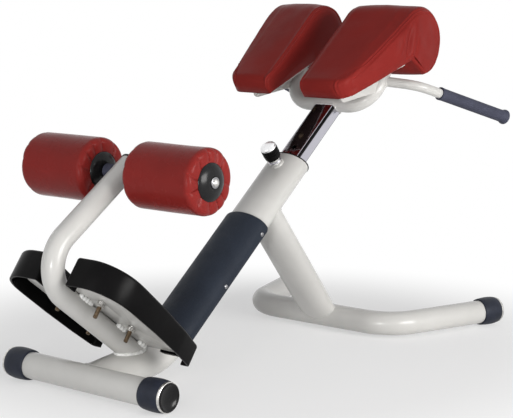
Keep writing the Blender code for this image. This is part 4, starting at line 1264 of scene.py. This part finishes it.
roller_rows = roller_end(ROLLER_OUT, 1.0)
roller_rows += [(ROLLER_R, ROLLER_OUT - 40.0 - 22.0 * k, 0.0) for k in range(6)]
roller_rows += roller_end(ROLLER_IN, -1.0)[::-1]
roller_profile = [(radius, height) for radius, height, share in roller_rows]
for side, sign in SIDES:
    out = LEFT * sign
    place = axis_frame(AXLE, out)
    body = "roller_" + side
    seed = 3.7 * sign

    def soft_end(index, angle, radius, height):
        share = roller_rows[index][2]
        spot = Vector((math.cos(angle) * 1.4, math.sin(angle) * 1.4, height * 0.012 + seed))
        r = radius + (0.9 * noise.noise(spot) if radius > 40.0 else 0.0)
        if share <= 0.0:
            return r, height
        outward = 1.0 if height > 0.5 * (ROLLER_IN + ROLLER_OUT) else -1.0
        bend = 0.10 * math.sin(angle * 3.0 + seed)
        bend += 0.006 * (radius - 40.0) * math.sin(angle * 2.0 + seed)
        puff = abs(math.sin(0.5 * PLEATS * (angle + bend))) ** 0.32
        fading = max(0.0, (72.5 - radius) / 31.0) ** 0.35
        h = height + outward * share * fading * (7.4 * puff - 5.4)
        return r + share * (3.6 * puff - 2.8) * smooth((radius - 48.0) / 24.0), h

    roller = turned("soft_roller_" + side, roller_profile, place, 264, soft_end)
    dress(roller, tight, body, "ankle_" + body, angle=70.0)
    for tag, y, facing in (("outer", ROLLER_OUT + 0.3, out), ("inner", ROLLER_IN - 0.3, -out)):
        end = "_%s_%s" % (tag, side)
        disc_place = axis_frame(AXLE + out * y, facing)
        lathe("disc" + end, DISC, disc_place, 64, gloss, body, "roller_cap" + end)
    lathe("end_bolt_" + side, END_BOLT, place, 40, zinc, "frame", "axle_bolt_" + side)
    lathe("end_washer_" + side, WASHER, place, 40, steel, "frame")
    lathe("spacer_" + side, SPACER, place, 44, foam, "frame", "axle_spacer_" + side, slot="cover")

# ---- pull pin and knob
KNOB_R = 20.6
COLLAR = [
    (4.8, 70.0), (9.4, 70.0), (10.6, 69.4), (11.0, 68.4), (11.0, 51.0), (12.6, 50.4),
    (13.0, 49.6), (13.0, 34.4), (8.6, 34.4), (8.6, 67.0), (4.8, 67.0),
]
PIN_RING = [
    (13.1, 49.3), (15.4, 49.4), (16.2, 48.8), (16.6, 47.6), (16.2, 46.4), (15.4, 45.8),
    (13.1, 45.8),
]
SEAT = [(13.2, 40.5), (16.0, 40.2), (17.5, 38.8), (18.2, 36.0), (18.2, 31.0), (13.2, 31.0)]
BARREL = [
    (0.0, 87.6), (15.0, 88.0), (19.6, 87.9), (20.4, 87.2), (KNOB_R, 86.0), (KNOB_R, 82.4),
    (19.3, 81.6), (19.3, 80.4), (KNOB_R, 79.6), (KNOB_R, 75.4), (19.3, 74.6), (19.3, 73.4),
    (KNOB_R, 72.6), (KNOB_R, 68.0), (20.1, 66.6), (19.6, 61.0), (18.7, 57.6), (16.8, 56.0),
    (14.0, 56.0), (14.0, 82.0), (0.0, 82.0),
]
DOME = [
    (0.0, 98.2), (5.0, 98.0), (10.0, 97.4), (14.0, 96.3), (17.8, 94.6), (19.6, 92.4),
    (20.3, 90.4), (20.2, 89.2), (18.2, 88.4), (0.0, 88.4),
]
SPRING_R = 6.4
SPRING_LOW = 40.9
SPRING_LENGTH = 24.8
SPRING_SLANT = 0.154
WIRE_R = 0.9
stem = frame_matrix(rail(PIN_S), ALONG, LEFT)


def knurl(index, angle, radius, height):
    return (radius + 0.35 * math.cos(24.0 * angle) if radius > 15.0 else radius), height


lathe("plunger_collar", COLLAR, stem, 48, nylon, "frame", "pin_housing")
lathe("plunger_ring", PIN_RING, stem, 48, chrome, "frame", "pin_ring")
lathe("plunger_seat", SEAT, stem, 48, paint, "frame")
lathe("knob_barrel", BARREL, stem, 96, plastic, "pin", "knob", shape=knurl)
lathe("knob_dome", DOME, stem, 56, satin, "pin", "knob_cap")

wire = []
for k in range(97):
    angle = 2.0 * math.pi * k / 24.0
    spoke = Vector((math.cos(angle), math.sin(angle), 0.0))
    slant = Vector((-math.sin(angle), math.cos(angle), SPRING_SLANT)).normalized()
    lift = spoke.cross(slant)
    middle = spoke * SPRING_R + UP * (SPRING_LOW + SPRING_LENGTH * k / 96.0)
    ring = [middle + spoke * a + lift * b for a, b in ellipse(WIRE_R, WIRE_R, 10)]
    wire.append([stem @ (spot * MM) for spot in ring])
spring = loft("plunger_spring", wire)
dress(spring, steel, "frame", "pin_spring", angle=60.0)
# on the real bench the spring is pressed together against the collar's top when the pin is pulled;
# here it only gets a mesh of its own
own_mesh(spring)

# ---- CAD nodes that stay as they are
FLANGE_Y = 134.0
CARRIED = {
    "pad_plate_left": paint,
    "pad_plate_right": paint,
    "post_shoe": plastic,
    "pull_pin": steel,
    "roller_core_left": steel,
    "roller_core_right": steel,
}
for name, obj in nodes.items():
    look = thread if name.startswith("pad_bolt") else CARRIED.get(name)
    if look is None:
        continue
    obj.data.materials.clear()
    obj.data.materials.append(look.material)
    if name.startswith("pad_plate"):
        # the board itself is nearly black underneath; its side flange is painted
        obj.data.materials.append(board.material)
        for face in obj.data.polygons:
            x, y, z = face.center / MM
            level = PAD_LOW.y + SLOPE * (x + ORIGIN_X - PAD_LOW.x) - z
            if 3.0 < level < 9.0 and abs(abs(y) - FLANGE_Y) > 2.7 and face.normal.z < -0.5:
                face.material_index = 1
    soften(obj, 0.9 if "plate" in name else 0.3)
    obj.data.shade_smooth()
    obj.data.set_sharp_from_angle(angle=math.radians(32.0))

# ---- stage, in metres
WHITE = (1.0, 1.0, 1.0, 1.0)


def studio_rays(tree):
    """1 for the camera, glossy and transmission rays, which see the white studio."""
    rays = add_node(tree, "ShaderNodeLightPath").outputs
    total = rays["Is Camera Ray"]
    for kind in ("Is Glossy Ray", "Is Transmission Ray"):
        some = add_node(tree, "ShaderNodeMath", operation="ADD", use_clamp=True)
        tree.links.new(total, some.inputs[0])
        tree.links.new(rays[kind], some.inputs[1])
        total = some.outputs[0]
    return total


def blend(tree, share, under, over, output):
    """Mix two shaders and lead them to the output."""
    mix = add_node(tree, "ShaderNodeMixShader")
    for source, socket in zip((share, under.outputs[0], over.outputs[0]), mix.inputs):
        tree.links.new(source, socket)
    tree.links.new(mix.outputs[0], output.inputs["Surface"])


# pale floor that fades to white round the bench and keeps its shadow
floor_work = bmesh.new()
bmesh.ops.create_grid(floor_work, x_segments=2, y_segments=2, size=30.0)
floor = mesh_object("studio_floor", floor_work)
floor.location = (0.0, 0.0, -0.0005)
floor_material = bpy.data.materials.new("studio_floor")
floor_material.use_nodes = True
tree = floor_material.node_tree
floor_shader = tree.nodes["Principled BSDF"]
floor_shader.inputs["Base Color"].default_value = (0.90, 0.90, 0.90, 1.0)
floor_shader.inputs["Roughness"].default_value = 0.9
floor_shader.inputs["Specular IOR Level"].default_value = 0.1
glow = add_node(tree, "ShaderNodeEmission", Color=WHITE)
length = add_node(tree, "ShaderNodeVectorMath", operation="LENGTH")
tree.links.new(add_node(tree, "ShaderNodeTexCoord").outputs["Object"], length.inputs[0])
ends = {"From Min": 0.55, "From Max": 1.15, "To Min": 0.50}
fade = add_node(tree, "ShaderNodeMapRange", interpolation_type="SMOOTHSTEP", **ends)
tree.links.new(length.outputs["Value"], fade.inputs["Value"])
share = add_node(tree, "ShaderNodeMath", operation="MULTIPLY")
tree.links.new(studio_rays(tree), share.inputs[0])
tree.links.new(fade.outputs["Result"], share.inputs[1])
blend(tree, share.outputs[0], floor_shader, glow, tree.nodes["Material Output"])
floor.data.materials.append(floor_material)

world = bpy.data.worlds.new("studio")
bpy.context.scene.world = world
world.use_nodes = True
tree = world.node_tree
tree.nodes.clear()
ambient = add_node(tree, "ShaderNodeBackground", Color=(0.97, 0.98, 1.0, 1.0), Strength=0.23)
white = add_node(tree, "ShaderNodeBackground", Color=WHITE)
output = add_node(tree, "ShaderNodeOutputWorld")
blend(tree, studio_rays(tree), ambient, white, output)


def lamp(name, spot, target, size, watts, colour=(1.0, 1.0, 1.0)):
    data = bpy.data.lights.new(name, "AREA")
    data.shape = "RECTANGLE"
    data.size, data.size_y = size
    data.energy = watts
    data.color = colour
    obj = bpy.data.objects.new(name, data)
    obj.location = spot
    facing = (Vector(target) - Vector(spot)).to_track_quat("-Z", "Y")
    obj.rotation_euler = facing.to_euler()
    bpy.context.scene.collection.objects.link(obj)


# soft studio light: a broad source from the right, weaker ones from above and behind, and a
# small one low on the left that puts the crisp highlights on the rollers' ends
lamp("key", (-0.2, -3.5, 0.98), (0.0, 0.0, 0.38), (1.9, 1.3), 101.0, (1.0, 0.99, 0.97))
lamp("top", (0.2, -0.6, 3.4), (0.0, 0.0, 0.0), (2.2, 2.2), 4.0)
lamp("fill", (-3.0, 0.4, 1.2), (0.0, 0.0, 0.3), (1.8, 1.8), 14.0)
lamp("low", (-3.25, -1.35, 0.45), (-0.2, 0.0, 0.3), (0.46, 0.36), 30.0)

# ---- camera at the photo's angle
PHOTO_WIDTH = 513.0
FOCAL_PIXELS = 1469.81
SENSOR = 36.0
CAMERA_PLACE = (-2181.5, -2207.6, 868.9)
CAMERA_RIGHT = Vector((0.62532, -0.78034, 0.00741))
CAMERA_DOWN = Vector((-0.11066, -0.09807, -0.98901))
CAMERA_AHEAD = Vector((0.77249, 0.61762, -0.14768))
camera_data = bpy.data.cameras.new("photo_camera")
camera_data.sensor_width = SENSOR
camera_data.lens = FOCAL_PIXELS / PHOTO_WIDTH * SENSOR
camera_data.clip_end = 200.0
camera = bpy.data.objects.new("photo_camera", camera_data)
matrix = Matrix((CAMERA_RIGHT, -CAMERA_DOWN, -CAMERA_AHEAD)).transposed().to_4x4()
matrix.translation = point(*CAMERA_PLACE)
camera.matrix_world = matrix
bpy.context.scene.collection.objects.link(camera)
bpy.context.scene.camera = camera
bpy.context.scene.view_settings.view_transform = "Standard"
